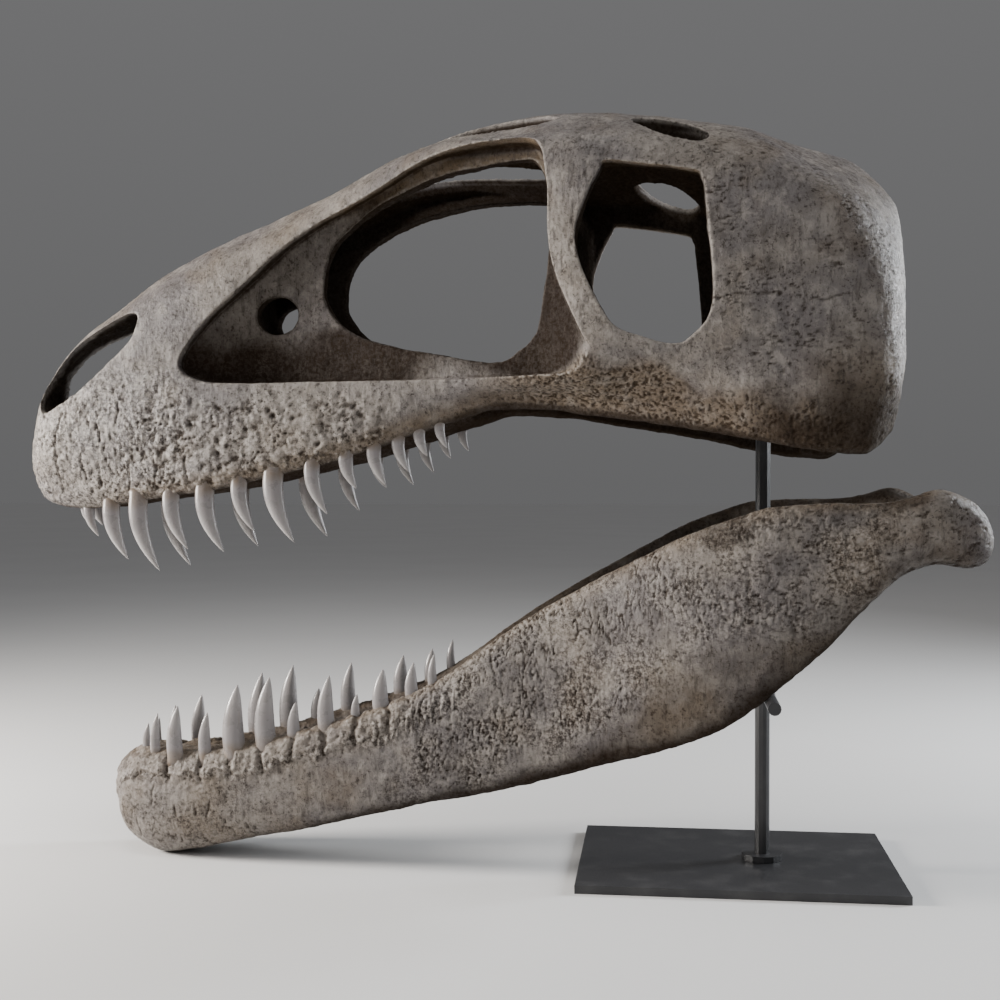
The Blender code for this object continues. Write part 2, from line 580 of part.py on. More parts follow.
# Lower jaw, built on the right side and mirrored

def ramus_ring(x):
    r = at(JAW, x)
    low = r.base - CHIN_FLAT
    middle, half = (r.top + low) / 2, (r.top - low) / 2
    ring = []
    for i in range(JAW_SIDES):
        a = math.pi / 2 + 2 * math.pi * i / JAW_SIDES
        across, rise = math.cos(a), math.sin(a)
        across = math.copysign(abs(across) ** (2 / JAW_SQUARENESS), across)
        rise = math.copysign(abs(rise) ** (2 / JAW_SQUARENESS), rise)
        y = r.outer - r.thick / 2 * (1 - across) - r.lean * (1 - rise) / 2
        ring.append((x, y, middle + half * rise))
    return ring


def lower_jaw():
    jaw = loft("lower_jaw", [ramus_ring(r.x) for r in JAW], parts)
    cut(jaw, box("other_side", (FRONT, -FAR, BELOW), (0.0, SUTURE / 2, FAR), cutters))
    cut(jaw, box("floor", (FRONT, -FAR, BELOW), (0.0, FAR, 0.0), cutters))
    for name, line in (("dentary_end", DENTARY_END), ("angular_top", ANGULAR_TOP),
                       ("articular_front", ARTICULAR_FRONT)):
        cut(jaw, side_prism(name, ribbon(line, SUTURE)), "MANIFOLD")
    for mesh in islands(jaw):
        centre = sum((vert.co for vert in mesh.vertices), Vector()) / len(mesh.vertices)
        name = min(JAW_BONES, key=lambda bone: (Vector(JAW_BONES[bone]) - centre.xz).length)
        bone = add_object(name + "_right", mesh, parts)
        if name == "dentary":
            add_teeth(bone, "lower_tooth", LOWER_TEETH, lower_border, 1, LOWER_HOOK, 1)
        other = bone.data.copy()
        other.transform(Matrix.Scale(-1, 4, (0, 1, 0)))
        other.flip_normals()
        add_object(name + "_left", other, parts)
    bpy.data.objects.remove(jaw)


# Occiput, braincase and pterygoids

def box(name, low, high, collection):
    (x0, y0, z0), (x1, y1, z1) = low, high
    ring = ((y0, z0), (y1, z0), (y1, z1), (y0, z1))
    return loft(name, [[(x, y, z) for y, z in ring] for x in (x0, x1)], collection)


def lathe(name, profile, centre, steps, collection):
    """A body of revolution about the vertical line through centre; profile is (radius, Z) from below."""
    x, y = centre
    angles = [2 * math.pi * i / steps for i in range(steps)]
    rings = [[(x + r * math.cos(a), y + r * math.sin(a), z) for a in angles] for r, z in profile]
    return loft(name, rings, collection)


def bar(name, route, radius, steps, collection):
    """A round bar along a line of points that runs mostly along X."""
    angles = [math.pi / 2 + 2 * math.pi * i / steps for i in range(steps)]
    rings = [[(x, y + radius * math.cos(a), z + radius * math.sin(a)) for a in angles] for x, y, z in route]
    return loft(name, rings, collection)


def finish_occiput(occiput):
    front, half, low, high = BRAINCASE
    combine(occiput, box("braincase", (front, -half, low), (OCCIPUT_FACE - 0.01, half, high), cutters), "UNION")
    angles = np.linspace(0, math.pi, CONDYLE_STEPS + 1)[1:-1]
    knob = []
    for a in angles:
        reach, radius = CONDYLE_RADIUS * math.cos(a), CONDYLE_RADIUS * math.sin(a)
        around = [2 * math.pi * i / (2 * CONDYLE_STEPS) for i in range(2 * CONDYLE_STEPS)]
        knob.append([(CONDYLE_X - reach, radius * math.cos(b), CONDYLE_Z + radius * math.sin(b)) for b in around])
    combine(occiput, loft("condyle", knob, cutters), "UNION")
    hole = [(OCCIPUT_FACE - FORAMEN_DEPTH, 0, FORAMEN_Z), (BACK, 0, FORAMEN_Z)]
    cut(occiput, bar("foramen", hole, FORAMEN_RADIUS, FORAMEN_STEPS, cutters))


def add_pterygoids():
    for side, name in ((1, "pterygoid_right"), (-1, "pterygoid_left")):
        bar(name, [(x, side * y, z) for x, y, z in PTERYGOID], PTERYGOID_RADIUS, 6, parts)


# Stand

def yoke_height():
    """Height of the cross bar whose top just meets the sloping lower edge of the jaw."""
    reach = YOKE_RADIUS + CLEARANCE
    heights = []
    for x in np.linspace(YOKE_X - reach, YOKE_X + reach, 81):
        edge = np.interp(x, [r.x for r in JAW], [r.base - CHIN_FLAT for r in JAW])
        heights.append(edge - math.sqrt(max(reach ** 2 - (x - YOKE_X) ** 2, 0)))
    return min(heights)


def add_stand():
    length, width, height = BASE_SIZE
    box("stand_base", (BASE_X - length / 2, -width / 2, 0), (BASE_X + length / 2, width / 2, height), parts)
    foot, top = height + CLEARANCE, BRAINCASE[2] - CLEARANCE
    profile = ((FOOT_RADIUS, foot), (FOOT_RADIUS, foot + FOOT_HEIGHT), (ROD_RADIUS, foot + FOOT_HEIGHT),
               (ROD_RADIUS, top - PAD_HEIGHT), (PAD_RADIUS, top - PAD_HEIGHT), (PAD_RADIUS, top))
    lathe("stand_rod", profile, (ROD_X, 0), ROUND_STEPS, parts)
    z = yoke_height()
    angles = [2 * math.pi * i / ROUND_STEPS for i in range(ROUND_STEPS)]
    rings = []
    for y in (-YOKE_HALF, YOKE_HALF):
        rings.append([(YOKE_X + YOKE_RADIUS * math.cos(a), y, z + YOKE_RADIUS * math.sin(a)) for a in angles])
    yoke = loft("stand_yoke", rings, parts)
    sleeve = ((COLLAR_RADIUS, z - COLLAR_HEIGHT / 2), (COLLAR_RADIUS, z + COLLAR_HEIGHT / 2))
    combine(yoke, lathe("collar", sleeve, (ROD_X, 0), ROUND_STEPS, cutters), "UNION")
    inner = ROD_RADIUS + CLEARANCE
    cut(yoke, lathe("bore", ((inner, 0.0), (inner, 0.9)), (ROD_X, 0), ROUND_STEPS, cutters))


def dress(thing, colour, roughness, metallic):
    material = bpy.data.materials.new(thing.name)
    material.use_nodes = True
    shader = material.node_tree.nodes["Principled BSDF"]
    shader.inputs["Base Color"].default_value = (*colour, 1)
    shader.inputs["Roughness"].default_value = roughness
    shader.inputs["Metallic"].default_value = metallic
    thing.data.materials.clear()
    thing.data.materials.append(material)
    thing.data.shade_smooth()
    thing.data.set_sharp_from_angle(angle=SHARP_ANGLE)


build_name = "tyrannosaurid_skull"
for leftover in list(bpy.data.objects):
    bpy.data.objects.remove(leftover, do_unlink=True)
parts = bpy.data.collections.new(build_name)
cutters = bpy.data.collections.new("cutters")
bpy.context.scene.collection.children.link(parts)
bpy.context.scene.collection.children.link(cutters)
cutters.hide_render = True

shell = cranium_shell()
part_cranium(shell)
bones = name_bones(islands(shell))
bpy.data.objects.remove(shell)
finish_occiput(bones["occiput"])
for side, hand in ((1, "_right"), (-1, "_left")):
    front, back = UPPER_TEETH[:PREMAXILLARY_TEETH], UPPER_TEETH[PREMAXILLARY_TEETH:]
    add_teeth(bones["premaxilla" + hand], "upper_tooth", front, upper_border, -1, TOOTH_HOOK, side)
    add_teeth(bones["maxilla" + hand], "upper_tooth", back, upper_border, -1, TOOTH_HOOK, side)
add_pterygoids()
lower_jaw()
add_stand()
for thing in parts.objects:
    if thing.name.startswith("stand_"):
        dress(thing, *STEEL)
    elif thing.name.split("_")[0] in JAW_BONES:
        dress(thing, *JAW_BONE)
    else:
        dress(thing, *BONE)
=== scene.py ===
import itertools
import math

import bmesh
import bpy
import numpy as np
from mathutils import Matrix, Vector
from mathutils.bvhtree import BVHTree
from mathutils.kdtree import KDTree


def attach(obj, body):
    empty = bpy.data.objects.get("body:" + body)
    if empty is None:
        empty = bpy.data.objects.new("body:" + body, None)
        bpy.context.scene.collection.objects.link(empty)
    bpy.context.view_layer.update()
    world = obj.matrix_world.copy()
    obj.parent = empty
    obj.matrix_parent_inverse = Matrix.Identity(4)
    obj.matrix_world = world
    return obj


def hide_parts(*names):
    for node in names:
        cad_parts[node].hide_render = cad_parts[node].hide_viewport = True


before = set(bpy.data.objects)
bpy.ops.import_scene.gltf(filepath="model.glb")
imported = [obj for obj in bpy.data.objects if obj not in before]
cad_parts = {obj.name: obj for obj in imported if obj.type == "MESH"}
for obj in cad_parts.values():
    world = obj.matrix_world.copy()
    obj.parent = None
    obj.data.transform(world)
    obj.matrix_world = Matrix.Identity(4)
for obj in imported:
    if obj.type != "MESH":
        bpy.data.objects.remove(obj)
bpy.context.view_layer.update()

# Metres. X runs from the snout to the back of the head, Y to the animal's right, Z up.


# curves and lofts

def sampleRows(rows, xs):
    # every column of a table of cross-sections at new places, without overshoot between the rows
    table = np.array(rows, float)
    knots = table[:, 0]
    steps = np.diff(knots)
    cell = np.clip(np.searchsorted(knots, xs) - 1, 0, len(steps) - 1)
    u = np.clip((xs - knots[cell]) / steps[cell], 0, 1)
    out = [np.array(xs, float)]
    for column in table.T[1:]:
        rises = np.diff(column)
        slopes = rises / steps
        tangents = np.concatenate([slopes[:1], slopes])
        same = slopes[:-1] * slopes[1:] > 0
        mean = 2 * slopes[:-1] * slopes[1:] / np.where(same, slopes[:-1] + slopes[1:], 1)
        tangents[1:-1] = np.where(same, mean, 0)
        bend = tangents[cell] * (1 - u) - tangents[cell + 1] * u
        out.append(column[cell] + rises[cell] * u * u * (3 - 2 * u) + steps[cell] * u * (1 - u) * bend)
    return np.stack(out, axis=1)


def roundedLine(points, steps, closed=False):
    # a smooth line through the points
    points = np.array(points, float)
    count = len(points)
    line = []
    for i in range(count if closed else count - 1):
        if closed:
            before, start, end, after = (points[(i + k) % count] for k in (-1, 0, 1, 2))
        else:
            before, start, end, after = (points[min(max(i + k, 0), count - 1)] for k in (-1, 0, 1, 2))
        for step in range(steps):
            u = step / steps
            line.append(0.5 * (2 * start + (end - before) * u
                               + (2 * before - 5 * start + 4 * end - after) * u * u
                               + (3 * start - before - 3 * end + after) * u ** 3))
    if not closed:
        line.append(points[-1])
    return np.array(line)


def addObject(name, mesh):
    thing = bpy.data.objects.new(name, mesh)
    bpy.context.scene.collection.objects.link(thing)
    return thing


def loft(name, rings):
    # a closed body through rings of equal count, with a flat cap at each end
    rings = np.array(rings, float)
    rows, count = rings.shape[:2]
    index = np.arange(rows * count).reshape(rows, count)
    turned = np.roll(index, -1, axis=1)
    quads = np.stack([index[:-1], turned[:-1], turned[1:], index[1:]], axis=-1).reshape(-1, 4)
    caps = [index[0][::-1].tolist(), index[-1].tolist()]
    mesh = bpy.data.meshes.new(name)
    mesh.from_pydata(rings.reshape(-1, 3).tolist(), [], quads.tolist() + caps)
    shape = bmesh.new()
    shape.from_mesh(mesh)
    bmesh.ops.recalc_face_normals(shape, faces=shape.faces[:])
    if shape.calc_volume(signed=True) < 0:
        bmesh.ops.reverse_faces(shape, faces=shape.faces[:])
    shape.to_mesh(mesh)
    shape.free()
    return addObject(name, mesh)


def sidePrism(name, outline):
    # a body with a smooth outline in X and Z, run along Y through the whole skull
    return loft(name, [[(x, y, z) for x, z in roundedLine(outline, 6, True)] for y in (-0.6, 0.6)])


def lengthPrism(name, outline, start, end):
    # a body with an outline in Y and Z, run along X
    return loft(name, [[(x, y, z) for y, z in outline] for x in (start, end)])


def circle(steps):
    return np.linspace(0, 2 * math.pi, steps, endpoint=False)


def stations(start, noseEnd, tailStart, end, count):
    # places along X, closest together at both ends
    nose = np.linspace(start, noseEnd, 14)[:-1]
    middle = np.linspace(noseEnd, tailStart, count)[:-1]
    return np.concatenate([nose, middle, np.linspace(tailStart, end, 12)])


def settle(thing):
    # the mesh as its modifiers leave it
    mesh = bpy.data.meshes.new_from_object(thing.evaluated_get(bpy.context.evaluated_depsgraph_get()))
    thing.modifiers.clear()
    old = thing.data
    thing.data = mesh
    bpy.data.meshes.remove(old)


def discard(thing):
    mesh = thing.data
    bpy.data.objects.remove(thing)
    bpy.data.meshes.remove(mesh)


def combine(target, tools, operation):
    for tool in tools:
        modifier = target.modifiers.new(tool.name, "BOOLEAN")
        modifier.operation = operation
        modifier.solver = "MANIFOLD"
        modifier.object = tool
    bpy.context.view_layer.update()
    settle(target)
    for tool in tools:
        discard(tool)


def remesh(thing, voxel, passes):
    # one even skin over all that was joined and cut, with its edges eased
    modifier = thing.modifiers.new("skin", "REMESH")
    modifier.mode = "VOXEL"
    modifier.voxel_size = voxel
    ease = thing.modifiers.new("ease", "SMOOTH")
    ease.factor = 0.5
    ease.iterations = passes
    settle(thing)


# noise on points, in numpy

def cellNumber(i, j, k, seed):
    n = (i * 374761393 + j * 668265263 + k * 974711 + seed * 362437).astype(np.uint32)
    n = (n ^ (n >> np.uint32(13))) * np.uint32(1274126177)
    n = (n ^ (n >> np.uint32(15))) * np.uint32(2246822519)
    return (n >> np.uint32(8)) & np.uint32(0xFFFF)


def cellValue(i, j, k, seed):
    return cellNumber(i, j, k, seed).astype(np.float32) / 65535


def ballPoints(count):
    # directions spread evenly over a sphere
    turn = np.arange(count) * math.pi * (3 - math.sqrt(5))
    rise = 1 - 2 * (np.arange(count) + 0.5) / count
    flat = np.sqrt(1 - rise * rise)
    return np.stack([flat * np.cos(turn), flat * np.sin(turn), rise], axis=1)


slopes = ballPoints(64).astype(np.float32)
tilt = np.array([[0.36, 0.48, -0.8], [-0.8, 0.6, 0.0], [0.48, 0.64, 0.6]])  # turns the noise off the axes


def smoothNoise(points, seed):
    low = np.floor(points).astype(np.int64)
    f = (points - low).astype(np.float32)
    u = f * f * f * (f * (f * 6 - 15) + 10)
    total = 0
    for corner in range(8):
        i, j, k = corner & 1, corner >> 1 & 1, corner >> 2
        slope = slopes[cellNumber(low[:, 0] + i, low[:, 1] + j, low[:, 2] + k, seed) & 63]
        lift = slope[:, 0] * (f[:, 0] - i) + slope[:, 1] * (f[:, 1] - j) + slope[:, 2] * (f[:, 2] - k)
        near = [u[:, axis] if far else 1 - u[:, axis] for axis, far in enumerate((i, j, k))]
        total = total + near[0] * near[1] * near[2] * lift
    return total * 1.7


def fractal(points, size, seed, octaves=4, gain=0.5):
    # about -1 to 1, with features of this size in metres, which may differ by axis
    points = points / np.array(size, float)
    total, weight, whole = 0, 1.0, 0.0
    for octave in range(octaves):
        points = points @ tilt
        total = total + weight * smoothNoise(points * 2 ** octave + 31.7 * octave, seed + octave)
        whole += weight
        weight *= gain
    return total / whole * 1.5


def ridged(points, size, seed, octaves=3):
    # 1 along thin crests, falling to 0
    points = points / np.array(size, float)
    total, weight, whole = 0, 1.0, 0.0
    for octave in range(octaves):
        points = points @ tilt
        crest = 1 - np.abs(smoothNoise(points * 2 ** octave + 17.3 * octave, seed + octave)) * 2
        total = total + weight * crest
        whole += weight
        weight *= 0.5
    return np.clip(total / whole, 0, 1)


def dimples(points, size, seed, soft, sway):
    # 1 in scattered dimples of this size, falling to 0 round them; sway is a distance, a size and a seed
    points = (points + sway[0] * fractal(points, sway[1], sway[2], 2)[:, None]) / size
    low = np.floor(points).astype(np.int64)
    f = (points - low).astype(np.float32)
    nearest = np.full(len(points), 9.0, np.float32)
    for i, j, k in itertools.product((-1, 0, 1), repeat=3):
        a, b, c = low[:, 0] + i, low[:, 1] + j, low[:, 2] + k
        dx = i + cellValue(a, b, c, seed) - f[:, 0]
        dy = j + cellValue(a, b, c, seed + 1) - f[:, 1]
        dz = k + cellValue(a, b, c, seed + 2) - f[:, 2]
        nearest = np.minimum(nearest, dx * dx + dy * dy + dz * dz)
    return 1 - ramp(np.sqrt(nearest), *soft)


def crooked(points, seed):
    # the points swayed along X and Z, so that what follows them runs crooked
    sway = [fractal(points, 0.03, seed, 2), np.zeros(len(points)), fractal(points, 0.03, seed + 1, 2)]
    return points + 0.005 * np.stack(sway, axis=1)


def ramp(value, low, high):
    u = np.clip((value - low) / (high - low), 0, 1)
    return u * u * (3 - 2 * u)


def band(value, low, high, soft):
    return ramp(value, low - soft, low + soft) * (1 - ramp(value, high - soft, high + soft))


def most(*values):
    # the highest of several values at each point
    return np.maximum.reduce(values)


def groove(x, z, line, width):
    # 1 along a line in X and Z, falling to 0 at its sides
    best = np.full(len(x), 9.0)
    for (x0, z0), (x1, z1) in zip(line, line[1:]):
        dx, dz = x1 - x0, z1 - z0
        t = np.clip(((x - x0) * dx + (z - z0) * dz) / (dx * dx + dz * dz), 0, 1)
        best = np.minimum(best, np.hypot(x - x0 - t * dx, z - z0 - t * dz))
    return 1 - ramp(best, 0, width)


def readMesh(mesh):
    count = len(mesh.vertices)
    points = np.empty(count * 3, np.float32)
    normals = np.empty(count * 3, np.float32)
    mesh.vertices.foreach_get("co", points)
    mesh.vertices.foreach_get("normal", normals)
    return points.reshape(-1, 3).astype(float), normals.reshape(-1, 3).astype(float)


def writeMesh(mesh, points):
    mesh.vertices.foreach_set("co", points.astype(np.float32).reshape(-1))
    mesh.update()


def paint(mesh, **layers):
    for name, values in layers.items():
        layer = mesh.attributes.get(name) or mesh.attributes.new(name, "FLOAT", "POINT")
        layer.data.foreach_set("value", np.clip(values, 0, 1).astype(np.float32))


def readEdges(mesh):
    edges = np.empty(len(mesh.edges) * 2, np.int32)
    mesh.edges.foreach_get("vertices", edges)
    return edges.reshape(-1, 2)


def neighbourMean(edges, count):
    # a function that gives every point the mean of its neighbours' values
    a, b = edges.T
    share = 1 / np.maximum(np.bincount(a, minlength=count) + np.bincount(b, minlength=count), 1)
    return lambda column: (np.bincount(a, column[b], count) + np.bincount(b, column[a], count)) * share


def spread(values, edges, passes):
    # evens a value, or the places of the points, out over their neighbours
    columns = values.reshape(len(values), -1).T.copy()
    mean = neighbourMean(edges, len(values))
    for n in range(passes):
        for column in columns:
            column += (mean(column) - column) * 0.6
    return columns.T.reshape(values.shape)


def spreadWithin(values, edges, chosen, passes):
    # the same for a part of the mesh only
    number = np.full(len(values), -1)
    number[chosen] = np.arange(chosen.sum())
    inner = number[edges]
    out = values.copy()
    out[chosen] = spread(values[chosen], inner[(inner >= 0).all(axis=1)], passes)
    return out


openSpace = {
    "voxel": 0.009,  # of the coarser copy
    "rays": 26,
    "reach": 0.42,
}


def openness(thing):
    # the share of open space that each point sees, 0 in the deepest hollow
    o = openSpace
    copy = addObject("coarse", thing.data.copy())
    remesh(copy, o["voxel"], 1)
    points, normals = readMesh(copy.data)
    tree = BVHTree.FromObject(copy, bpy.context.evaluated_depsgraph_get())
    rays = ballPoints(o["rays"])
    seen = np.zeros(len(points))
    finder = KDTree(len(points))
    for n, (point, normal) in enumerate(zip(points, normals)):
        aims = rays + normal * 1.02
        start = point + normal * 0.002
        finder.insert(point, n)
        for aim in aims:
            if tree.ray_cast(start, aim, o["reach"])[0] is None:
                seen[n] += 1
    finder.balance()
    fine, _ = readMesh(thing.data)
    nearest = [finder.find(point)[1] for point in fine]
    discard(copy)
    return spread(seen[nearest] / len(rays), readEdges(thing.data), 10)


def bulge(points, normals, edges):
    # over 0 where the surface stands out, under 0 where it is hollow
    mean = neighbourMean(edges, len(points))
    away = np.stack([column - mean(column) for column in points.T], axis=1)
    return (away * normals).sum(axis=1)


def easedPoints(thing, edges, chosen):
    # the chosen skin with its facets evened out, and its crisp edges kept
    points, _ = readMesh(thing.data)
    shift = spread(points, edges, relief["ease"]) - points
    gentle = 1 - ramp(np.linalg.norm(shift, axis=1), *relief["easeLimit"])
    return points + shift * spread(chosen * gentle, edges, 4)[:, None]


# cranium

cranium = {
    "voxel": 0.0025,
    "eased": 4,
    "stations": (-0.710, -0.672, 0.570, 0.600, 200),
    # x, roof, half-width and drop of the ridge, then half-width and height of the side, low side and lip
    "sections": (
        (-0.710, 0.612, 0.004, 0.001, 0.008, 0.607, 0.008, 0.598, 0.004, 0.592),
        (-0.700, 0.668, 0.014, 0.006, 0.028, 0.645, 0.031, 0.600, 0.016, 0.566),
        (-0.673, 0.738, 0.028, 0.011, 0.054, 0.702, 0.058, 0.620, 0.038, 0.544),
        (-0.623, 0.800, 0.038, 0.014, 0.067, 0.757, 0.072, 0.640, 0.053, 0.534),
        (-0.563, 0.843, 0.042, 0.015, 0.077, 0.791, 0.083, 0.655, 0.068, 0.538),
        (-0.493, 0.894, 0.045, 0.016, 0.085, 0.832, 0.093, 0.668, 0.086, 0.549),
        (-0.403, 0.939, 0.050, 0.016, 0.094, 0.870, 0.103, 0.680, 0.104, 0.561),
        (-0.293, 0.982, 0.060, 0.016, 0.105, 0.907, 0.114, 0.692, 0.118, 0.584),
        (-0.203, 1.018, 0.078, 0.016, 0.120, 0.950, 0.124, 0.712, 0.125, 0.605),
        (-0.113, 1.060, 0.103, 0.018, 0.146, 0.992, 0.136, 0.735, 0.128, 0.633),
        (-0.023, 1.093, 0.140, 0.031, 0.184, 1.008, 0.152, 0.745, 0.129, 0.662),
        (0.047, 1.108, 0.170, 0.048, 0.216, 1.003, 0.178, 0.745, 0.131, 0.680),
        (0.127, 1.116, 0.201, 0.058, 0.244, 0.995, 0.220, 0.752, 0.142, 0.677),
        (0.177, 1.115, 0.213, 0.058, 0.253, 0.990, 0.244, 0.762, 0.154, 0.669),
        (0.247, 1.108, 0.222, 0.058, 0.256, 0.985, 0.256, 0.775, 0.175, 0.659),
        (0.342, 1.094, 0.227, 0.061, 0.260, 0.970, 0.263, 0.770, 0.207, 0.643),
        (0.410, 1.082, 0.229, 0.063, 0.264, 0.952, 0.267, 0.752, 0.230, 0.629),
        (0.438, 1.066, 0.226, 0.060, 0.266, 0.942, 0.267, 0.745, 0.238, 0.624),
        (0.480, 1.056, 0.221, 0.068, 0.266, 0.928, 0.266, 0.732, 0.244, 0.616),
        (0.540, 1.040, 0.207, 0.074, 0.256, 0.888, 0.257, 0.715, 0.237, 0.612),
        (0.580, 1.004, 0.186, 0.062, 0.236, 0.850, 0.236, 0.710, 0.214, 0.645),
        (0.596, 0.980, 0.168, 0.037, 0.214, 0.842, 0.214, 0.740, 0.198, 0.700),
        (0.600, 0.968, 0.152, 0.024, 0.196, 0.840, 0.196, 0.760, 0.184, 0.735),
    ),
    "lipHeight": 0.018,
    "ridgeInset": 0.015,
    "vault": 0.034,
    # x, roof wall, half-width at the side and low down, floor
    "hollow": (
        (-0.330, 0.040, 0.046, 0.050, 0.680), (-0.203, 0.028, 0.062, 0.066, 0.682),
        (-0.113, 0.024, 0.076, 0.078, 0.690), (-0.023, 0.024, 0.090, 0.086, 0.705),
        (-0.010, 0.024, 0.092, 0.088, 0.560), (0.100, 0.024, 0.110, 0.100, 0.560),
        (0.135, 0.025, 0.140, 0.120, 0.560), (0.165, 0.026, 0.205, 0.175, 0.560),
        (0.247, 0.020, 0.226, 0.220, 0.560), (0.342, 0.022, 0.230, 0.230, 0.560),
        (0.438, 0.030, 0.234, 0.234, 0.560), (0.500, 0.040, 0.230, 0.230, 0.560),
    ),
    "jawWall": 0.030,
    # half-width of the sunken plate on the side of the snout
    "plate": ((-0.50, 0.082), (-0.40, 0.072), (-0.30, 0.070), (-0.22, 0.084), (-0.12, 0.112),
              (-0.04, 0.135), (0.04, 0.155), (0.10, 0.172), (0.130, 0.190), (0.155, 0.212),
              (0.180, 0.240), (0.22, 0.250)),
    # outlines in X and Z
    "naris": ((-0.513, 0.829), (-0.551, 0.820), (-0.620, 0.785), (-0.655, 0.750), (-0.670, 0.722),
              (-0.677, 0.690), (-0.664, 0.682), (-0.635, 0.696), (-0.600, 0.718), (-0.531, 0.778),
              (-0.514, 0.802)),
    "fossa": ((-0.441, 0.754), (-0.402, 0.811), (-0.337, 0.869), (-0.258, 0.934), (-0.130, 0.994),
              (-0.070, 1.024), (-0.009, 1.040), (0.051, 1.045), (0.104, 1.037), (0.120, 0.990),
              (0.126, 0.880), (0.164, 0.783), (0.182, 0.750), (0.167, 0.727), (0.047, 0.723),
              (-0.333, 0.721), (-0.414, 0.728)),
    "antorbital": ((-0.222, 0.860), (-0.214, 0.905), (-0.190, 0.938), (-0.132, 0.978), (-0.045, 1.010),
                   (0.018, 1.020), (0.080, 1.024), (0.102, 1.019), (0.117, 0.985), (0.119, 0.890),
                   (0.103, 0.790), (0.078, 0.760), (0.043, 0.744), (-0.047, 0.758), (-0.144, 0.780),
                   (-0.192, 0.805), (-0.216, 0.835)),
    "orbit": ((0.207, 1.001), (0.312, 0.986), (0.326, 0.975), (0.331, 0.952), (0.341, 0.813),
              (0.312, 0.767), (0.286, 0.759), (0.247, 0.769), (0.207, 0.789), (0.174, 0.850),
              (0.160, 0.901), (0.170, 0.944), (0.192, 0.990)),
    "maxillary": (-0.296, 0.823, 0.032, 0.028),  # centre and radii
    # roof openings in X and Y, which lean outward with height
    "frontRoof": ((-0.160, 0.054), (-0.100, 0.050), (0.000, 0.062), (0.080, 0.086), (0.128, 0.128),
                  (0.108, 0.158), (0.050, 0.148), (-0.050, 0.116), (-0.140, 0.080)),
    "rearRoof": ((0.232, 0.166), (0.265, 0.152), (0.302, 0.164), (0.336, 0.212), (0.326, 0.243),
                 (0.288, 0.238), (0.252, 0.212)),
    "roofLean": 0.55,
    "frontRoofHeight": 1.05,
    "rearRoofHeight": 1.045,
    # hollow of the nape in Y and Z, and what it opens on
    "recess": ((-0.194, 0.50), (-0.188, 0.84), (-0.150, 0.925), (-0.086, 0.953), (0.086, 0.953),
               (0.150, 0.925), (0.188, 0.84), (0.194, 0.50)),
    "occiputFace": 0.535,
    "underside": ((-0.196, 0.5), (-0.196, 0.735), (0.196, 0.735), (0.196, 0.5)),
    "braincase": (0.385, 0.076, 0.786, 0.940),  # front, half-width, bottom and top
    "condyle": (0.548, 0.800, 0.034),  # x, height and radius
    "foramen": (0.868, 0.026, 0.060),  # height, radius and depth
}


def outerHalf(s, steps=8):
    # half of the outline, from the middle of the roof to the lip of the jaw
    x, top, ridge, drop, side, sideZ, low, lowZ, jaw, jawZ = s
    small = min(1, jaw / 0.05)
    crown = top - 0.26 * drop
    keys = [(-0.55 * ridge, crown), (0, top), (0.55 * ridge, crown), (ridge, top - drop),
            (side, sideZ), (low, lowZ), (jaw, jawZ + cranium["lipHeight"] * small)]
    return roundedLine(keys, steps)[steps:]


def mirrored(x, half):
    # a whole ring from the half of it that runs from the middle to the middle
    ring = [(x, y, z) for y, z in half]
    return ring + [(x, -y, z) for _, y, z in ring[1:-1]][::-1]


def hullRing(s):
    # the whole outline, with the vaulted palate
    x, jaw, jawZ = s[0], s[8], s[9]
    small = min(1, jaw / 0.05)
    ridge = jaw - cranium["ridgeInset"] * small
    vault = cranium["vault"] * small
    palate = [(jaw, jawZ + cranium["lipHeight"] * small), (ridge, jawZ),
              (ridge - 0.022 * small, jawZ + 0.006 * small), (0.4 * jaw, jawZ + 0.88 * vault),
              (0, jawZ + vault)]
    return mirrored(x, np.concatenate([outerHalf(s), roundedLine(palate, 6)[1:]]))


def hollowRing(s, h):
    # the space inside the skull, a wall's thickness under the outer skin
    x, top, ridge, drop, side, sideZ, low, lowZ, jaw, jawZ = s
    roof, hSide, hLow, floor = h[1:]
    corner = min(ridge - 0.004, hSide + 0.040)
    lip = min(jaw - cranium["jawWall"], hLow)
    foot = max(floor, min(jawZ + 0.035, lowZ - 0.02))
    return mirrored(x, [(0, top - roof), (0.55 * corner, top - 0.26 * drop - roof),
                        (corner, top - drop - roof), (hSide, sideZ - 0.01), (hLow, lowZ),
                        (lip, foot), (lip, floor - 0.001), (0.0, floor - 0.001)])


def roofCutter(name, outline, height, side):
    rings = []
    for rise in (-0.09, 0.12):
        lean = cranium["roofLean"] * rise
        rings.append([(x, side * (y + lean), height + rise) for x, y in roundedLine(outline, 6, True)])
    return loft(name, rings)


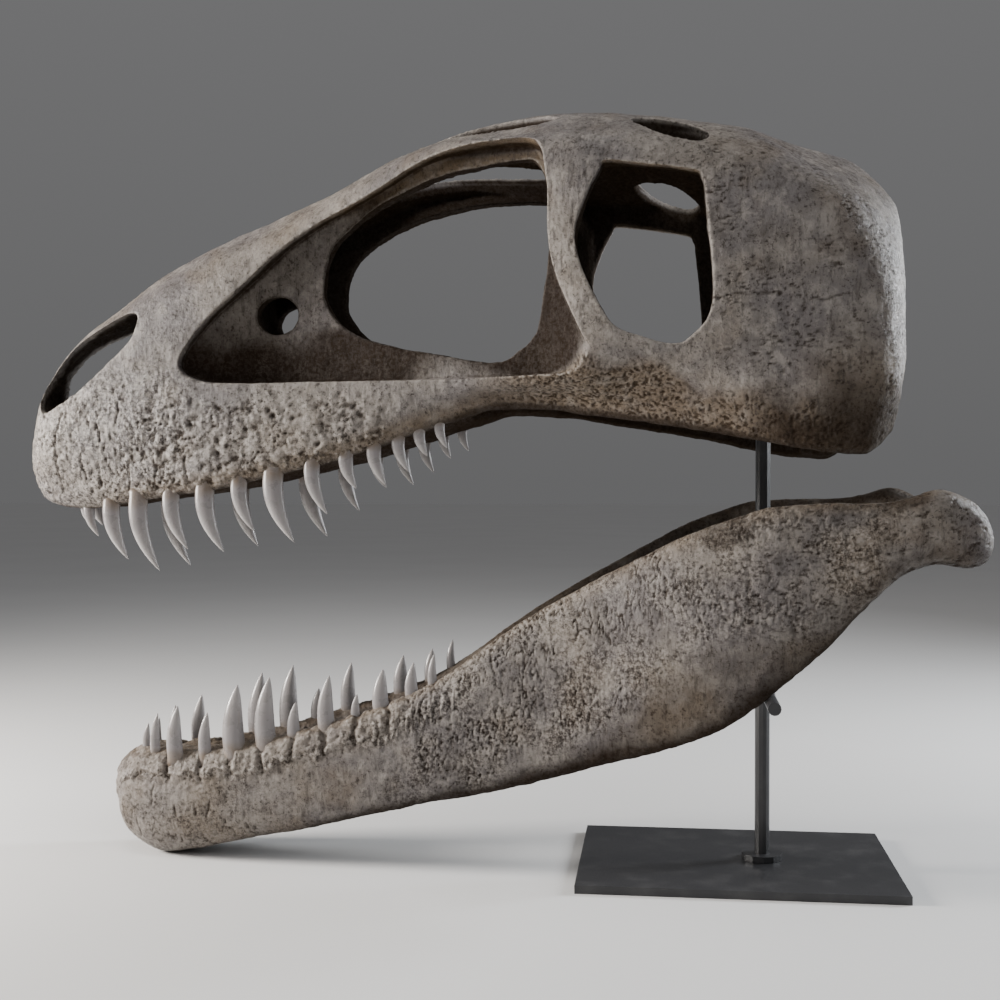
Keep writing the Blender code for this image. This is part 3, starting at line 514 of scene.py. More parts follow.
def openings():
    # what is cut out of the cranium
    c = cranium
    xs = np.linspace(c["hollow"][0][0], c["hollow"][-1][0], 110)
    inner = [hollowRing(s, h) for s, h in zip(sampleRows(c["sections"], xs), sampleRows(c["hollow"], xs))]
    fossa = sidePrism("fossa", c["fossa"])
    core = [[(x, w, 0.4), (x, w, 1.3), (x, -w, 1.3), (x, -w, 0.4)]
            for x, w in sampleRows(c["plate"], np.linspace(-0.50, 0.22, 100))]
    combine(fossa, [loft("core", core)], "DIFFERENCE")
    tools = [loft("hollow", inner), fossa]
    tools += [sidePrism(name, c[name]) for name in ("naris", "antorbital", "orbit")]
    x, z, long, high = c["maxillary"]
    window = [(x + long * math.cos(a), z + high * math.sin(a)) for a in circle(48)]
    tools.append(loft("maxillary", [[(x, y, z) for x, z in window] for y in (-0.6, 0.6)]))
    for side in (-1, 1):
        tools.append(roofCutter("frontRoof", c["frontRoof"], c["frontRoofHeight"], side))
        tools.append(roofCutter("rearRoof", c["rearRoof"], c["rearRoofHeight"], side))
    tools.append(lengthPrism("recess", c["recess"], c["occiputFace"], 0.7))
    tools.append(lengthPrism("under", c["underside"], 0.45, 0.7))
    return tools


def addBraincase(hull):
    # a box with soft corners, the ball that joins the neck and the hole over it
    c = cranium
    turn = circle(48)
    front, half, low, high = c["braincase"]
    middle, tall = (low + high) / 2, (high - low) / 2
    case = []
    for x in np.linspace(front, c["occiputFace"] - 0.005, 12):
        wide = half * (0.9 + 0.1 * (x - front) / (c["occiputFace"] - front))
        corners = [(math.cos(a), math.sin(a)) for a in turn]
        case.append([(x, wide * math.copysign(abs(across) ** 0.5, across),
                      middle + tall * math.copysign(abs(rise) ** 0.5, rise)) for across, rise in corners])
    x, z, radius = c["condyle"]
    knob = []
    for a in np.linspace(0.05, math.pi - 0.05, 24):
        reach = radius * math.sin(a)
        knob.append([(x - radius * math.cos(a), reach * math.cos(b), z + reach * math.sin(b)) for b in turn])
    combine(hull, [loft("case", case), loft("knob", knob)], "UNION")
    z, radius, depth = c["foramen"]
    rim = [(radius * math.cos(b), z + 1.15 * radius * math.sin(b)) for b in turn]
    combine(hull, [lengthPrism("hole", rim, c["occiputFace"] - depth, 0.7)], "DIFFERENCE")


def buildCranium():
    c = cranium
    hull = loft("cranium", [hullRing(s) for s in sampleRows(c["sections"], stations(*c["stations"]))])
    combine(hull, openings(), "DIFFERENCE")
    addBraincase(hull)
    print("cranium cut", len(hull.data.polygons))
    remesh(hull, c["voxel"], c["eased"])
    print("cranium skinned", len(hull.data.vertices))
    return hull


# lower jaw

jaw = {
    "voxel": 0.0022,
    "eased": 4,
    "stations": (-0.570, -0.540, 0.690, 0.711, 180),
    # x, upper and lower edge, outer face, thickness, lean of the lower edge toward the middle
    "sections": (
        (-0.570, 0.112, 0.078, 0.012, 0.024, 0.000), (-0.562, 0.136, 0.048, 0.034, 0.068, 0.000),
        (-0.545, 0.152, 0.026, 0.050, 0.100, 0.002), (-0.520, 0.163, 0.009, 0.062, 0.110, 0.004),
        (-0.485, 0.163, 0.000, 0.071, 0.110, 0.006), (-0.440, 0.164, 0.008, 0.078, 0.100, 0.007),
        (-0.390, 0.171, 0.021, 0.083, 0.082, 0.008), (-0.340, 0.180, 0.034, 0.087, 0.060, 0.008),
        (-0.262, 0.200, 0.050, 0.093, 0.050, 0.008), (-0.182, 0.226, 0.071, 0.100, 0.046, 0.008),
        (-0.105, 0.256, 0.091, 0.107, 0.044, 0.008), (-0.044, 0.290, 0.105, 0.113, 0.042, 0.009),
        (0.043, 0.353, 0.124, 0.123, 0.040, 0.012), (0.120, 0.402, 0.146, 0.137, 0.038, 0.016),
        (0.190, 0.441, 0.170, 0.158, 0.036, 0.020), (0.250, 0.473, 0.190, 0.186, 0.036, 0.026),
        (0.310, 0.504, 0.212, 0.213, 0.036, 0.030), (0.378, 0.530, 0.249, 0.234, 0.036, 0.030),
        (0.430, 0.544, 0.291, 0.242, 0.038, 0.026), (0.503, 0.548, 0.359, 0.244, 0.040, 0.018),
        (0.560, 0.548, 0.422, 0.244, 0.046, 0.008), (0.600, 0.554, 0.455, 0.243, 0.056, 0.003),
        (0.640, 0.566, 0.466, 0.240, 0.064, 0.000), (0.680, 0.553, 0.460, 0.232, 0.062, 0.000),
        (0.702, 0.530, 0.468, 0.220, 0.044, 0.000), (0.711, 0.508, 0.486, 0.208, 0.018, 0.000),
    ),
    "squareness": 2.7,
    "grooves": (-0.471, -0.418, -0.370, -0.321, -0.272, -0.222, -0.173, -0.124),  # between tooth sockets
}


def buildJaw():
    turn = circle(72)
    across = np.sign(np.cos(turn)) * np.abs(np.cos(turn)) ** (2 / jaw["squareness"])
    rise = np.sign(np.sin(turn)) * np.abs(np.sin(turn)) ** (2 / jaw["squareness"])
    sides = []
    for side in (-1, 1):
        rings = []
        for x, top, base, outer, thick, lean in sampleRows(jaw["sections"], stations(*jaw["stations"])):
            y = outer - thick / 2 * (1 - across) - lean * (1 - rise) / 2
            z = (top + base) / 2 + (top - base) / 2 * rise
            rings.append(np.stack([np.full(len(turn), x), side * y, z], axis=1))
        sides.append(loft("jaw", rings))
    combine(sides[0], [sides[1]], "UNION")
    remesh(sides[0], jaw["voxel"], jaw["eased"])
    print("lower jaw skinned", len(sides[0].data.vertices))
    return sides[0]


# surface relief; each layer is a depth along the normal, in metres

relief = {
    "ease": 30,  # passes that even the outer skin out before it is carved
    "easeLimit": (0.0009, 0.0020),  # edges that this would move further stay crisp
    "napeEase": 260,
    "swell": 0.0010,
    "pitSize": 0.0068,
    "pitDepth": 0.0017,
    "holeSize": 0.017,
    "holeDepth": 0.0030,
    "lumpHeight": 0.0026,
    "scratchDepth": 0.0013,
    "socketStep": 0.0042,
    "socketLump": 0.0040,
    "socketGroove": 0.0040,
    "barkDepth": 0.0017,
    "dashDepth": 0.0011,
    "wrinkleDepth": 0.0017,
    "jawPitSize": 0.0060,
    "jawPitDepth": 0.001275,
    "dripHeight": 0.0026,
    "chinDepth": 0.0013,
    "innerRough": 0.0012,
    "plateRough": 0.0010,
    # where each kind of surface begins and ends in X, each as a soft span
    "snoutEnd": (-0.50, -0.40),
    "cheekStart": (-0.02, 0.12),
    "cheekEnd": (0.50, 0.57),
    "rearStart": (0.26, 0.38),
    "napeStart": (0.35, 0.42),
    "socketEnd": (-0.13, -0.02),
    "bodyStart": (-0.17, -0.04),
    "bodyEnd": (0.50, 0.62),
    "chinEnd": (-0.42, -0.15),
    # lines in X and Z; a crack is a width and a depth
    "snoutCracks": (((-0.637, 0.677), (-0.648, 0.624), (-0.645, 0.566)),
                    ((-0.577, 0.662), (-0.570, 0.639)), ((-0.561, 0.616), (-0.556, 0.593)),
                    ((-0.605, 0.616), (-0.600, 0.578)), ((-0.575, 0.585), (-0.577, 0.560)),
                    ((-0.523, 0.610), (-0.525, 0.560)), ((-0.476, 0.600), (-0.478, 0.566)),
                    ((-0.429, 0.610), (-0.432, 0.575))),
    "snoutCrack": (0.0027, 0.0018),
    "rearCracks": (((0.345, 0.814), (0.384, 0.821), (0.429, 0.823)),
                   ((0.473, 0.812), (0.495, 0.815), (0.518, 0.818))),
    "rearCrack": (0.0023, 0.0013),
}


def lookUp(table, xs, ys, x, y):
    # values between the entries of an evenly spaced table
    a = np.clip((x - xs[0]) / (xs[1] - xs[0]), 0, len(xs) - 1.001)
    b = np.clip((y - ys[0]) / (ys[1] - ys[0]), 0, len(ys) - 1.001)
    i, j = a.astype(int), b.astype(int)
    u, v = a - i, b - j
    return ((table[i, j] * (1 - u) + table[i + 1, j] * u) * (1 - v)
            + (table[i, j + 1] * (1 - u) + table[i + 1, j + 1] * u) * v)


def craniumShape(points):
    # how deep each point lies under the outer skin, and its height over the border of the jaw
    xs = np.linspace(-0.709, 0.599, 220)
    zs = np.linspace(0.53, 1.12, 160)
    ys = np.linspace(0, 0.27, 60)
    rows = sampleRows(cranium["sections"], xs)
    wide = np.zeros((len(xs), len(zs)))
    roof = np.zeros((len(xs), len(ys)))
    for i, s in enumerate(rows):
        line = outerHalf(s)
        ridge = int(np.argmin(np.abs(line[:, 1] - (s[1] - s[3]))))
        falling = line[ridge // 2:]
        order = np.argsort(falling[:, 1])
        wide[i] = np.interp(zs, falling[order, 1], falling[order, 0])
        crown = line[:24]
        roof[i] = np.interp(ys, crown[:, 0], crown[:, 1], right=-9)
    x, y, z = points[:, 0], np.abs(points[:, 1]), points[:, 2]
    side = lookUp(wide, xs, zs, x, z) - y
    top = lookUp(roof, xs, ys, x, y) - z
    deep = np.minimum(side, np.where(top > -0.5, top, 9))
    back = np.maximum(xs[-1] - 0.001 - x, 0)
    return np.minimum(deep, back), z - np.interp(x, xs, rows[:, 9])


def carve(depth, cavity, height, amount, dirt=1.0):
    # sinks the surface, and notes how dark its hollow is painted, as dirt and painted shade
    depth -= height * amount
    np.maximum(cavity, dirt * amount, out=cavity)


def moveSkin(thing, edges, depth, cavity, voxel):
    # moves the skin by its relief, and paints its hollows and what stands out
    points, normals = readMesh(thing.data)
    moved = points + normals * depth[:, None]
    moved[:, 2] = np.maximum(moved[:, 2], 0.0)
    writeMesh(thing.data, moved)
    points, normals = readMesh(thing.data)
    stand = spread(bulge(moved, normals, edges), edges, 1) / voxel
    # pits: how dark each hollow is painted, as dirt and painted shade; worn: how far the skin stands out,
    # which lightens raised parts as wear and darkens sunken ones with dirt and painted shade
    paint(thing.data, pits=cavity, worn=0.5 + 2.2 * stand)
    return points


def carveCranium(thing):
    r = relief
    points, _ = readMesh(thing.data)
    edges = readEdges(thing.data)
    sky = openness(thing)
    print("cranium open space found")
    deep, rise = craniumShape(points)
    skinned = 1 - ramp(deep, 0.002, 0.008)
    points = easedPoints(thing, edges, skinned)
    nape = skinned * ramp(points[:, 0], *r["napeStart"]) * ramp(points[:, 2], 0.70, 0.80)
    points = points + (spreadWithin(points, edges, nape > 0, r["napeEase"]) - points) * nape[:, None]
    writeMesh(thing.data, points)
    points, normals = readMesh(thing.data)
    x, y, z = points.T

    # where each kind of surface lies, from 0 to 1
    aside = np.abs(y)
    outward = normals[:, 1] * np.sign(y)
    inside = ramp(deep, 0.006, 0.020)
    outer = 1 - inside
    plateHalf = sampleRows(cranium["plate"], np.clip(x, -0.499, 0.219))[:, 1]
    plate = band(aside - plateHalf, -0.006, 0.006, 0.003) * ramp(outward, 0.25, 0.7)
    plate *= band(x, -0.45, 0.19, 0.01) * band(z, 0.715, 1.035, 0.004) * inside
    # downward-facing surfaces high on the skull, which get painted shade
    ceilingShade = ramp(-normals[:, 2], 0.45, 0.85) * ramp(z, 0.93, 0.97) * (1 - ramp(deep, 0.03, 0.06))
    skin = np.maximum(outer, plate)
    front = (1 - ramp(x, *r["snoutEnd"])) * (1 - ramp(z, 0.70, 0.78))
    snout = front * outer
    lumpTop = z + 0.02 * fractal(points, 0.06, 9, 2)
    lumps = band(x, -0.50, -0.12, 0.05) * (1 - ramp(lumpTop, 0.68, 0.73)) * outer
    lip = (1 - ramp(rise, 0.010, 0.04)) * outer
    cheekTop = rise + 0.035 * fractal(points, 0.08, 71, 3)
    cheek = ramp(x, *r["cheekStart"]) * (1 - ramp(x, *r["cheekEnd"]))
    cheek *= (1 - ramp(cheekTop, 0.045, 0.085)) * outer
    rear = ramp(x, *r["rearStart"]) * (1 - cheek) * outer
    bar = band(x, 0.10, 0.22, 0.03) * band(z, 0.72, 1.06, 0.03) * outer

    depth = r["swell"] * (fractal(points, 0.06, 1, 3) + 0.45 * fractal(points, 0.016, 5, 3))
    cavity = np.zeros(len(points))
    pit = dimples(points, r["pitSize"], 21, (0.16, 0.46), (0.003, 0.02, 19))
    pit *= ramp(fractal(points, 0.040, 11, 3), -0.30, 0.35)
    carve(depth, cavity, r["pitDepth"], np.clip(0.5 * snout + 0.6 * lumps + 0.20 * skin, 0, 1) * pit)
    hole = dimples(points, r["holeSize"], 27, (0.10, 0.42), (0.005, 0.03, 23))
    hole *= ramp(fractal(points, 0.06, 33, 2), -0.05, 0.45)
    carve(depth, cavity, r["holeDepth"], np.clip(0.9 * lumps + 0.3 * snout + 0.06 * skin, 0, 1) * hole)
    knobs = fractal(points, (0.018, 0.018, 0.013), 41, 4, 0.6)
    depth += r["lumpHeight"] * (0.9 * lumps + 0.35 * snout + 0.35 * lip) * knobs
    cavity = np.maximum(cavity, (0.9 * lumps + 0.3 * snout) * ramp(-knobs, 0.12, 0.6))

    bent = crooked(points, 51)
    scratch = ramp(fractal(bent, (0.0042, 0.0060, 0.015), 55, 4, 0.6), 0.10, 0.50)
    scratch *= ramp(fractal(points, 0.05, 57, 2), -0.6, 0.3)
    scratch *= np.clip(0.9 * snout + 0.45 * bar + 0.12 * outer, 0, 1)
    carve(depth, cavity, r["scratchDepth"], scratch, 0.9)
    dash = ramp(fractal(bent, (0.0115, 0.009, 0.0036), 61, 3), 0.22, 0.62)
    dash *= ramp(fractal(points, 0.06, 65, 3), -0.25, 0.35)
    carve(depth, cavity, r["dashDepth"], np.clip(rear + 0.25 * outer * (1 - front), 0, 1) * dash, 0.8)
    crests = ridged(bent, (0.0058, 0.0075, 0.0115), 81, 3)
    depth += r["wrinkleDepth"] * cheek * (crests - 0.45)
    cavity = np.maximum(cavity, 0.9 * cheek * (1 - ramp(crests, 0.25, 0.55)))
    frayed = bent[:, 0] + 0.0016 * fractal(points, 0.012, 91, 2)
    for place in ("snoutCrack", "rearCrack"):
        width, cutDepth = r[place]
        for line in r[place + "s"]:
            carve(depth, cavity, cutDepth, groove(frayed, bent[:, 2], line, width) * outer, 0.7)
    depth += r["innerRough"] * inside * (1 - plate) * fractal(points, 0.022, 95, 4)
    depth += r["plateRough"] * plate * fractal(points, 0.014, 96, 4)
    points = moveSkin(thing, edges, depth, cavity, cranium["voxel"])

    cloud = fractal(points, 0.08, 97, 4)
    # painted shade: darkens hollows that see little open space, the inner walls (partly their own dark brown)
    # and the walls of the roof openings just under the skin
    shade = most(1 - ramp(sky, 0.16, 0.60), 0.95 * inside * (1 - plate),
                 0.95 * ramp(deep, 0.003, 0.009) * ramp(z, 1.045, 1.06))
    # ochre tint: stains on the cheek and lip and in clouds, the plate's top strip and the lower rear; painted
    # shade on the downward-facing surfaces high on the skull
    stain = most(0.75 * cheek, 0.75 * lip * ramp(x, -0.62, -0.50), 0.9 * ceilingShade, plate * ramp(z, 0.95, 0.99),
                 0.5 * ramp(x, 0.42, 0.50) * (1 - ramp(z, 0.70, 0.80)) * outer,
                 0.35 * ramp(cloud, 0.0, 0.7) * outer)
    # near-black on the sunken plate: brown soil, darker towards its bottom and its rear; painted shade along
    # its edges at the foot of the fossa walls
    plateEdge = ramp(spread(1 - plate, edges, 60), 0.10, 0.50)
    low = z + 0.02 * cloud
    soil = plate * most(0.45 + 0.55 * (1 - ramp(low, 0.755, 0.825)), 0.9 * plateEdge,
                        ramp(x, -0.36, -0.20) * (1 - ramp(low, 0.79, 0.83)),
                        ramp(x + 0.03 * cloud, 0.00, 0.07))
    soil *= 1 - 0.45 * plate * ramp(z, 0.95, 0.99) * ramp(x, -0.16, -0.08)
    # painted shade on the downward-facing underside of the lip; the lower rear corner darker towards the
    # bottom
    soil = most(soil, 0.85 * ramp(x, 0.36, 0.44) * (1 - ramp(z + 0.03 * cloud, 0.655, 0.73)) * outer,
                0.8 * (1 - ramp(rise, 0.004, 0.014)) * ramp(x, -0.15, 0.0))
    paint(thing.data, shade=shade, stain=stain, soil=soil, gloss=snout + 0.3 * lumps)
    print("cranium carved")


def carveJaw(thing):
    r = relief
    edges = readEdges(thing.data)
    sky = openness(thing)
    print("lower jaw open space found")
    points = easedPoints(thing, edges, 1)
    points[:, 2] = np.maximum(points[:, 2], 0.0)
    writeMesh(thing.data, points)
    points, _ = readMesh(thing.data)
    x, y, z = points.T
    rows = sampleRows(jaw["sections"], np.clip(x, -0.5699, 0.7109))
    top, base, outerY, thick = rows[:, 1], rows[:, 2], rows[:, 3], rows[:, 4]
    tall = (z - base) / np.maximum(top - base, 0.01)
    under = top - z
    outer = ramp(np.abs(y) - (outerY - 0.55 * thick), -0.004, 0.006)
    outer = np.maximum(outer, 1 - ramp(x, -0.55, -0.50))
    bent = crooked(points, 106)
    depth = r["swell"] * (fractal(points, 0.06, 101, 3) + 0.45 * fractal(points, 0.016, 105, 3))
    cavity = np.zeros(len(points))

    # the rough band round the tooth sockets, which ends in a ragged step
    ragged = under + 0.010 * fractal(points, 0.025, 108, 3)
    along = 1 - ramp(x, *r["socketEnd"])
    socket = along * (1 - ramp(ragged, 0.031, 0.043))
    wideBand = along * (1 - ramp(under, 0.040, 0.065))
    knobs = fractal(bent, (0.022, 0.022, 0.016), 111, 4, 0.5)
    small = fractal(points, 0.0075, 115, 4, 0.65)
    depth += r["socketStep"] * socket * outer * (0.80 + 0.35 * knobs)
    depth += r["socketLump"] * wideBand * (0.30 * knobs + 0.34 * small)
    cavity = most(cavity, 0.5 * wideBand * ramp(-knobs, 0.35, 0.8),
                  0.75 * wideBand * ramp(-small, 0.30, 0.75))
    side = x + 0.004 * fractal(points, 0.02, 121, 2)
    for place in jaw["grooves"]:
        between = 1 - ramp(np.abs(side - place), 0.0005, 0.0075)
        carve(depth, cavity, r["socketGroove"], between * (1 - ramp(ragged, 0.034, 0.050)) * outer, 0.45)
    drip = band(x, -0.155, -0.015, 0.015) * band(under, 0.022, 0.056, 0.010) * outer
    depth += r["dripHeight"] * drip * (ridged(bent, (0.011, 0.02, 0.05), 123, 1) - 0.3)
    step = band(ragged, 0.030, 0.040, 0.005) * along * outer

    body = ramp(x, *r["bodyStart"]) * (1 - ramp(x, *r["bodyEnd"])) * outer
    lines = ramp(ridged(bent, (0.0085, 0.012, 0.026), 131, 3), 0.60, 0.85)
    strokes = 0.7 * ramp(fractal(bent, (0.0040, 0.006, 0.0130), 133, 4, 0.6), 0.15, 0.55)
    bark = np.maximum(lines, strokes) * ramp(fractal(points, 0.07, 135, 3), -0.55, 0.25)
    bark *= np.clip(body * (1 - 0.5 * ramp(x, 0.20, 0.40)) + 0.15 * outer, 0, 1)
    carve(depth, cavity, r["barkDepth"], bark)
    pit = dimples(points, r["jawPitSize"], 141, (0.15, 0.46), (0.003, 0.02, 139))
    pit *= ramp(fractal(points, 0.055, 145, 3), -0.15, 0.40)
    carve(depth, cavity, r["jawPitDepth"], np.clip(0.6 * body + 0.15 * outer, 0, 1) * pit)
    dash = ramp(fractal(bent, (0.012, 0.009, 0.005), 147, 3), 0.20, 0.6)
    carve(depth, cavity, r["dashDepth"], dash * ramp(x, 0.22, 0.40) * outer, 0.7)
    chin = (1 - ramp(x, *r["chinEnd"])) * (1 - wideBand)
    lines = ramp(ridged(bent, (0.020, 0.03, 0.10), 151, 2), 0.80, 0.95)
    carve(depth, cavity, r["chinDepth"], lines * chin * outer, 0.8)
    depth += r["innerRough"] * (1 - outer) * fractal(points, 0.022, 155, 4)
    points = moveSkin(thing, edges, depth, cavity, jaw["voxel"])

    cloud = fractal(points, 0.08, 165, 4)
    # painted shade: darkens hollows that see little open space and the inner face of the jaw's front
    shade = most(1 - ramp(sky, 0.16, 0.60), 0.5 * (1 - outer) * ramp(x, -0.50, -0.40))
    stain = most(0.22 * wideBand, 0.5 * ramp(x, 0.30, 0.55) * ramp(cloud, -0.5, 0.4),
                 0.6 * ramp(tall, 0.88, 0.99), 0.45 * ramp(cloud, -0.2, 0.7))
    # near-black on the jaw: painted shade along the downward-facing lower border; soil along the rear of the
    # upper edge; darker towards the bottom at the rear
    soil = most(0.9 * (1 - ramp(tall + 0.04 * cloud, 0.02, 0.13)) * ramp(x, -0.45, -0.2),
                0.6 * band(tall, 0.86, 1.2, 0.03) * ramp(x, 0.15, 0.35) * ramp(cloud, -0.4, 0.3),
                0.5 * (1 - ramp(tall + 0.05 * cloud, 0.15, 0.40)) * ramp(x, 0.40, 0.55))
    gloss = 0.4 * chin + 0.8 * body * ramp(cloud, -0.5, 0.2) + step + drip
    paint(thing.data, shade=shade, stain=stain, soil=soil, gloss=gloss)
    print("lower jaw carved")


# teeth: x and half-width at the root, length, breadth

teeth = {
    "upper": (
        (-0.618, 0.020, 0.034, 0.017), (-0.606, 0.036, 0.050, 0.018), (-0.563, 0.053, 0.088, 0.027),
        (-0.514, 0.069, 0.112, 0.029), (-0.459, 0.079, 0.086, 0.026), (-0.403, 0.089, 0.097, 0.029),
        (-0.348, 0.097, 0.076, 0.025), (-0.294, 0.103, 0.104, 0.031), (-0.234, 0.109, 0.076, 0.024),
        (-0.183, 0.111, 0.052, 0.022), (-0.141, 0.112, 0.060, 0.022), (-0.105, 0.112, 0.052, 0.020),
        (-0.074, 0.113, 0.040, 0.018), (-0.044, 0.114, 0.038, 0.016),
    ),
    "lower": (
        (-0.519, 0.024, 0.046, 0.013), (-0.499, 0.040, 0.064, 0.016), (-0.462, 0.056, 0.078, 0.025),
        (-0.413, 0.061, 0.066, 0.020), (-0.366, 0.065, 0.102, 0.034), (-0.316, 0.068, 0.104, 0.032),
        (-0.272, 0.071, 0.056, 0.020), (-0.221, 0.075, 0.082, 0.026), (-0.176, 0.078, 0.040, 0.014),
        (-0.137, 0.081, 0.064, 0.025), (-0.090, 0.085, 0.054, 0.020), (-0.058, 0.090, 0.050, 0.014),
    ),
    "premaxillary": 4,  # how many of the upper teeth
    "root": 0.014,
    "around": 20,
    "upperHook": 0.30,
    "lowerHook": 0.05,
    "upperBelly": 0.03,
    "lowerBelly": 0.035,
    "flatness": 0.72,
    "upperSocket": 0.006,
    "lowerSocket": 0.008,
}


def oneTooth(spot, rootZ, up, hook, belly):
    # rings of a flattened, curved crown with keeled edges, and how far along the crown each one is
    x, y, length, breadth = spot
    turn = circle(teeth["around"])
    root = teeth["root"] / length
    shares = np.concatenate([[-root, -0.4 * root], 1 - (1 - np.linspace(0, 0.997, 30)) ** 1.3])
    rings = []
    for share in shares:
        rise = max(share, 0)
        bend = length * (hook * rise ** 2.1 - belly * math.sin(math.pi * rise))
        radius = breadth / 2 * (1 - rise ** 2.6) ** 0.86
        across = np.cos(turn)
        keel = np.sign(across) * np.abs(across) ** 0.85
        rings.append(np.stack([x + bend + radius * keel, y + teeth["flatness"] * radius * np.sin(turn),
                               np.full(len(turn), rootZ + up * share * length)], axis=1))
    return rings, np.maximum(shares, 0)


def toothRow(name, spots, heights, up, side):
    # one piece for all the teeth of a bone
    row = "upper" if up < 0 else "lower"
    hook, belly = teeth[row + "Hook"], teeth[row + "Belly"]
    whole = bmesh.new()
    values = []
    for (x, y, length, breadth), z in zip(spots, heights):
        rings, shares = oneTooth((x, side * y, length, breadth), z, up, hook, belly)
        body = loft("tooth", rings)
        whole.from_mesh(body.data)
        discard(body)
        values += list(np.repeat(shares, teeth["around"]))
    mesh = bpy.data.meshes.new(name)
    whole.to_mesh(mesh)
    whole.free()
    mesh.shade_smooth()
    paint(mesh, crown=values)
    return addObject(name, mesh)


def buildTeeth():
    rows = []
    uppers, lowers = np.array(teeth["upper"]), np.array(teeth["lower"])
    upperZ = sampleRows(cranium["sections"], uppers[:, 0])[:, 9] + teeth["upperSocket"]
    lowerZ = sampleRows(jaw["sections"], lowers[:, 0])[:, 1] - teeth["lowerSocket"]
    split = teeth["premaxillary"]
    for side, hand in ((1, "Right"), (-1, "Left")):
        for bone, spots, heights, up in (("premaxilla", uppers[:split], upperZ[:split], -1),
                                         ("maxilla", uppers[split:], upperZ[split:], -1),
                                         ("dentary", lowers, lowerZ, 1)):
            row = toothRow(bone + "Teeth" + hand, spots, heights, up, side)
            rows.append((row, bone + "_" + hand.lower()))
    print("teeth set", len(rows), "rows")
    return rows


# materials

class Nodes:
    def __init__(self, name):
        self.material = bpy.data.materials.new(name)
        self.material.use_nodes = True
        self.tree = self.material.node_tree
        self.shader = self.tree.nodes["Principled BSDF"]

    def add(self, kind, **settings):
        node = self.tree.nodes.new("ShaderNode" + kind)
        for key, value in settings.items():
            if hasattr(node, key):
                setattr(node, key, value)
            else:
                node.inputs[key.replace("_", " ")].default_value = value
        return node

    def link(self, source, target):
        self.tree.links.new(source, target)

    def attribute(self, name):
        return self.add("Attribute", attribute_name=name).outputs["Fac"]

    def give(self, socket, value):
        self.link(value, self.shader.inputs[socket])

    def noise(self, scale, detail=4.0, rough=0.5, stretch=None):
        node = self.add("TexNoise", Scale=scale, Detail=detail, Roughness=rough)
        self.link(self.place(stretch), node.inputs["Vector"])
        return node.outputs["Fac"]

    def place(self, stretch=None):
        where = self.add("TexCoord").outputs["Object"]
        if stretch is None:
            return where
        scale = self.add("VectorMath", operation="MULTIPLY")
        self.link(where, scale.inputs[0])
        scale.inputs[1].default_value = stretch
        return scale.outputs[0]

    def span(self, value, low, high, out=(0.0, 1.0)):
        node = self.add("MapRange")
        node.interpolation_type = "SMOOTHSTEP"
        self.link(value, node.inputs["Value"])
        for key, amount in zip(("From Min", "From Max", "To Min", "To Max"), (low, high, *out)):
            node.inputs[key].default_value = amount
        return node.outputs["Result"]

    def math(self, operation, first, second):
        node = self.add("Math", operation=operation)
        for socket, value in zip(node.inputs, (first, second)):
            if isinstance(value, (int, float)):
                socket.default_value = value
            else:
                self.link(value, socket)
        return node.outputs[0]

    def mix(self, factor, first, second):
        node = self.add("Mix", data_type="RGBA")
        for place, value in ((0, factor), (6, first), (7, second)):
            socket = node.inputs[place]
            if isinstance(value, (int, float)):
                socket.default_value = value
            elif isinstance(value, tuple):
                socket.default_value = (*value, 1)
            else:
                self.link(value, socket)
        return node.outputs[2]

    def bump(self, height, strength, distance, under=None):
        node = self.add("Bump", Strength=strength, Distance=distance)
        self.link(height, node.inputs["Height"])
        if under is not None:
            self.link(under, node.inputs["Normal"])
        return node.outputs["Normal"]


boneFinish = {
    "pale": (0.176, 0.154, 0.134),
    "lilac": (0.124, 0.110, 0.107),
    "worn": (0.320, 0.290, 0.258),
    "ochre": (0.122, 0.082, 0.042),
    "pepper": (0.034, 0.026, 0.0205),
    # dark brown for specks, dirt, and the painted shade in pits and hollows
    "dirt": (0.0205, 0.0128, 0.0078),
    # near-black for soil and painted shade
    "mud": (0.0150, 0.0088, 0.0050),
    # near-black for the painted shade
    "dark": (0.0160, 0.0096, 0.0052),
}


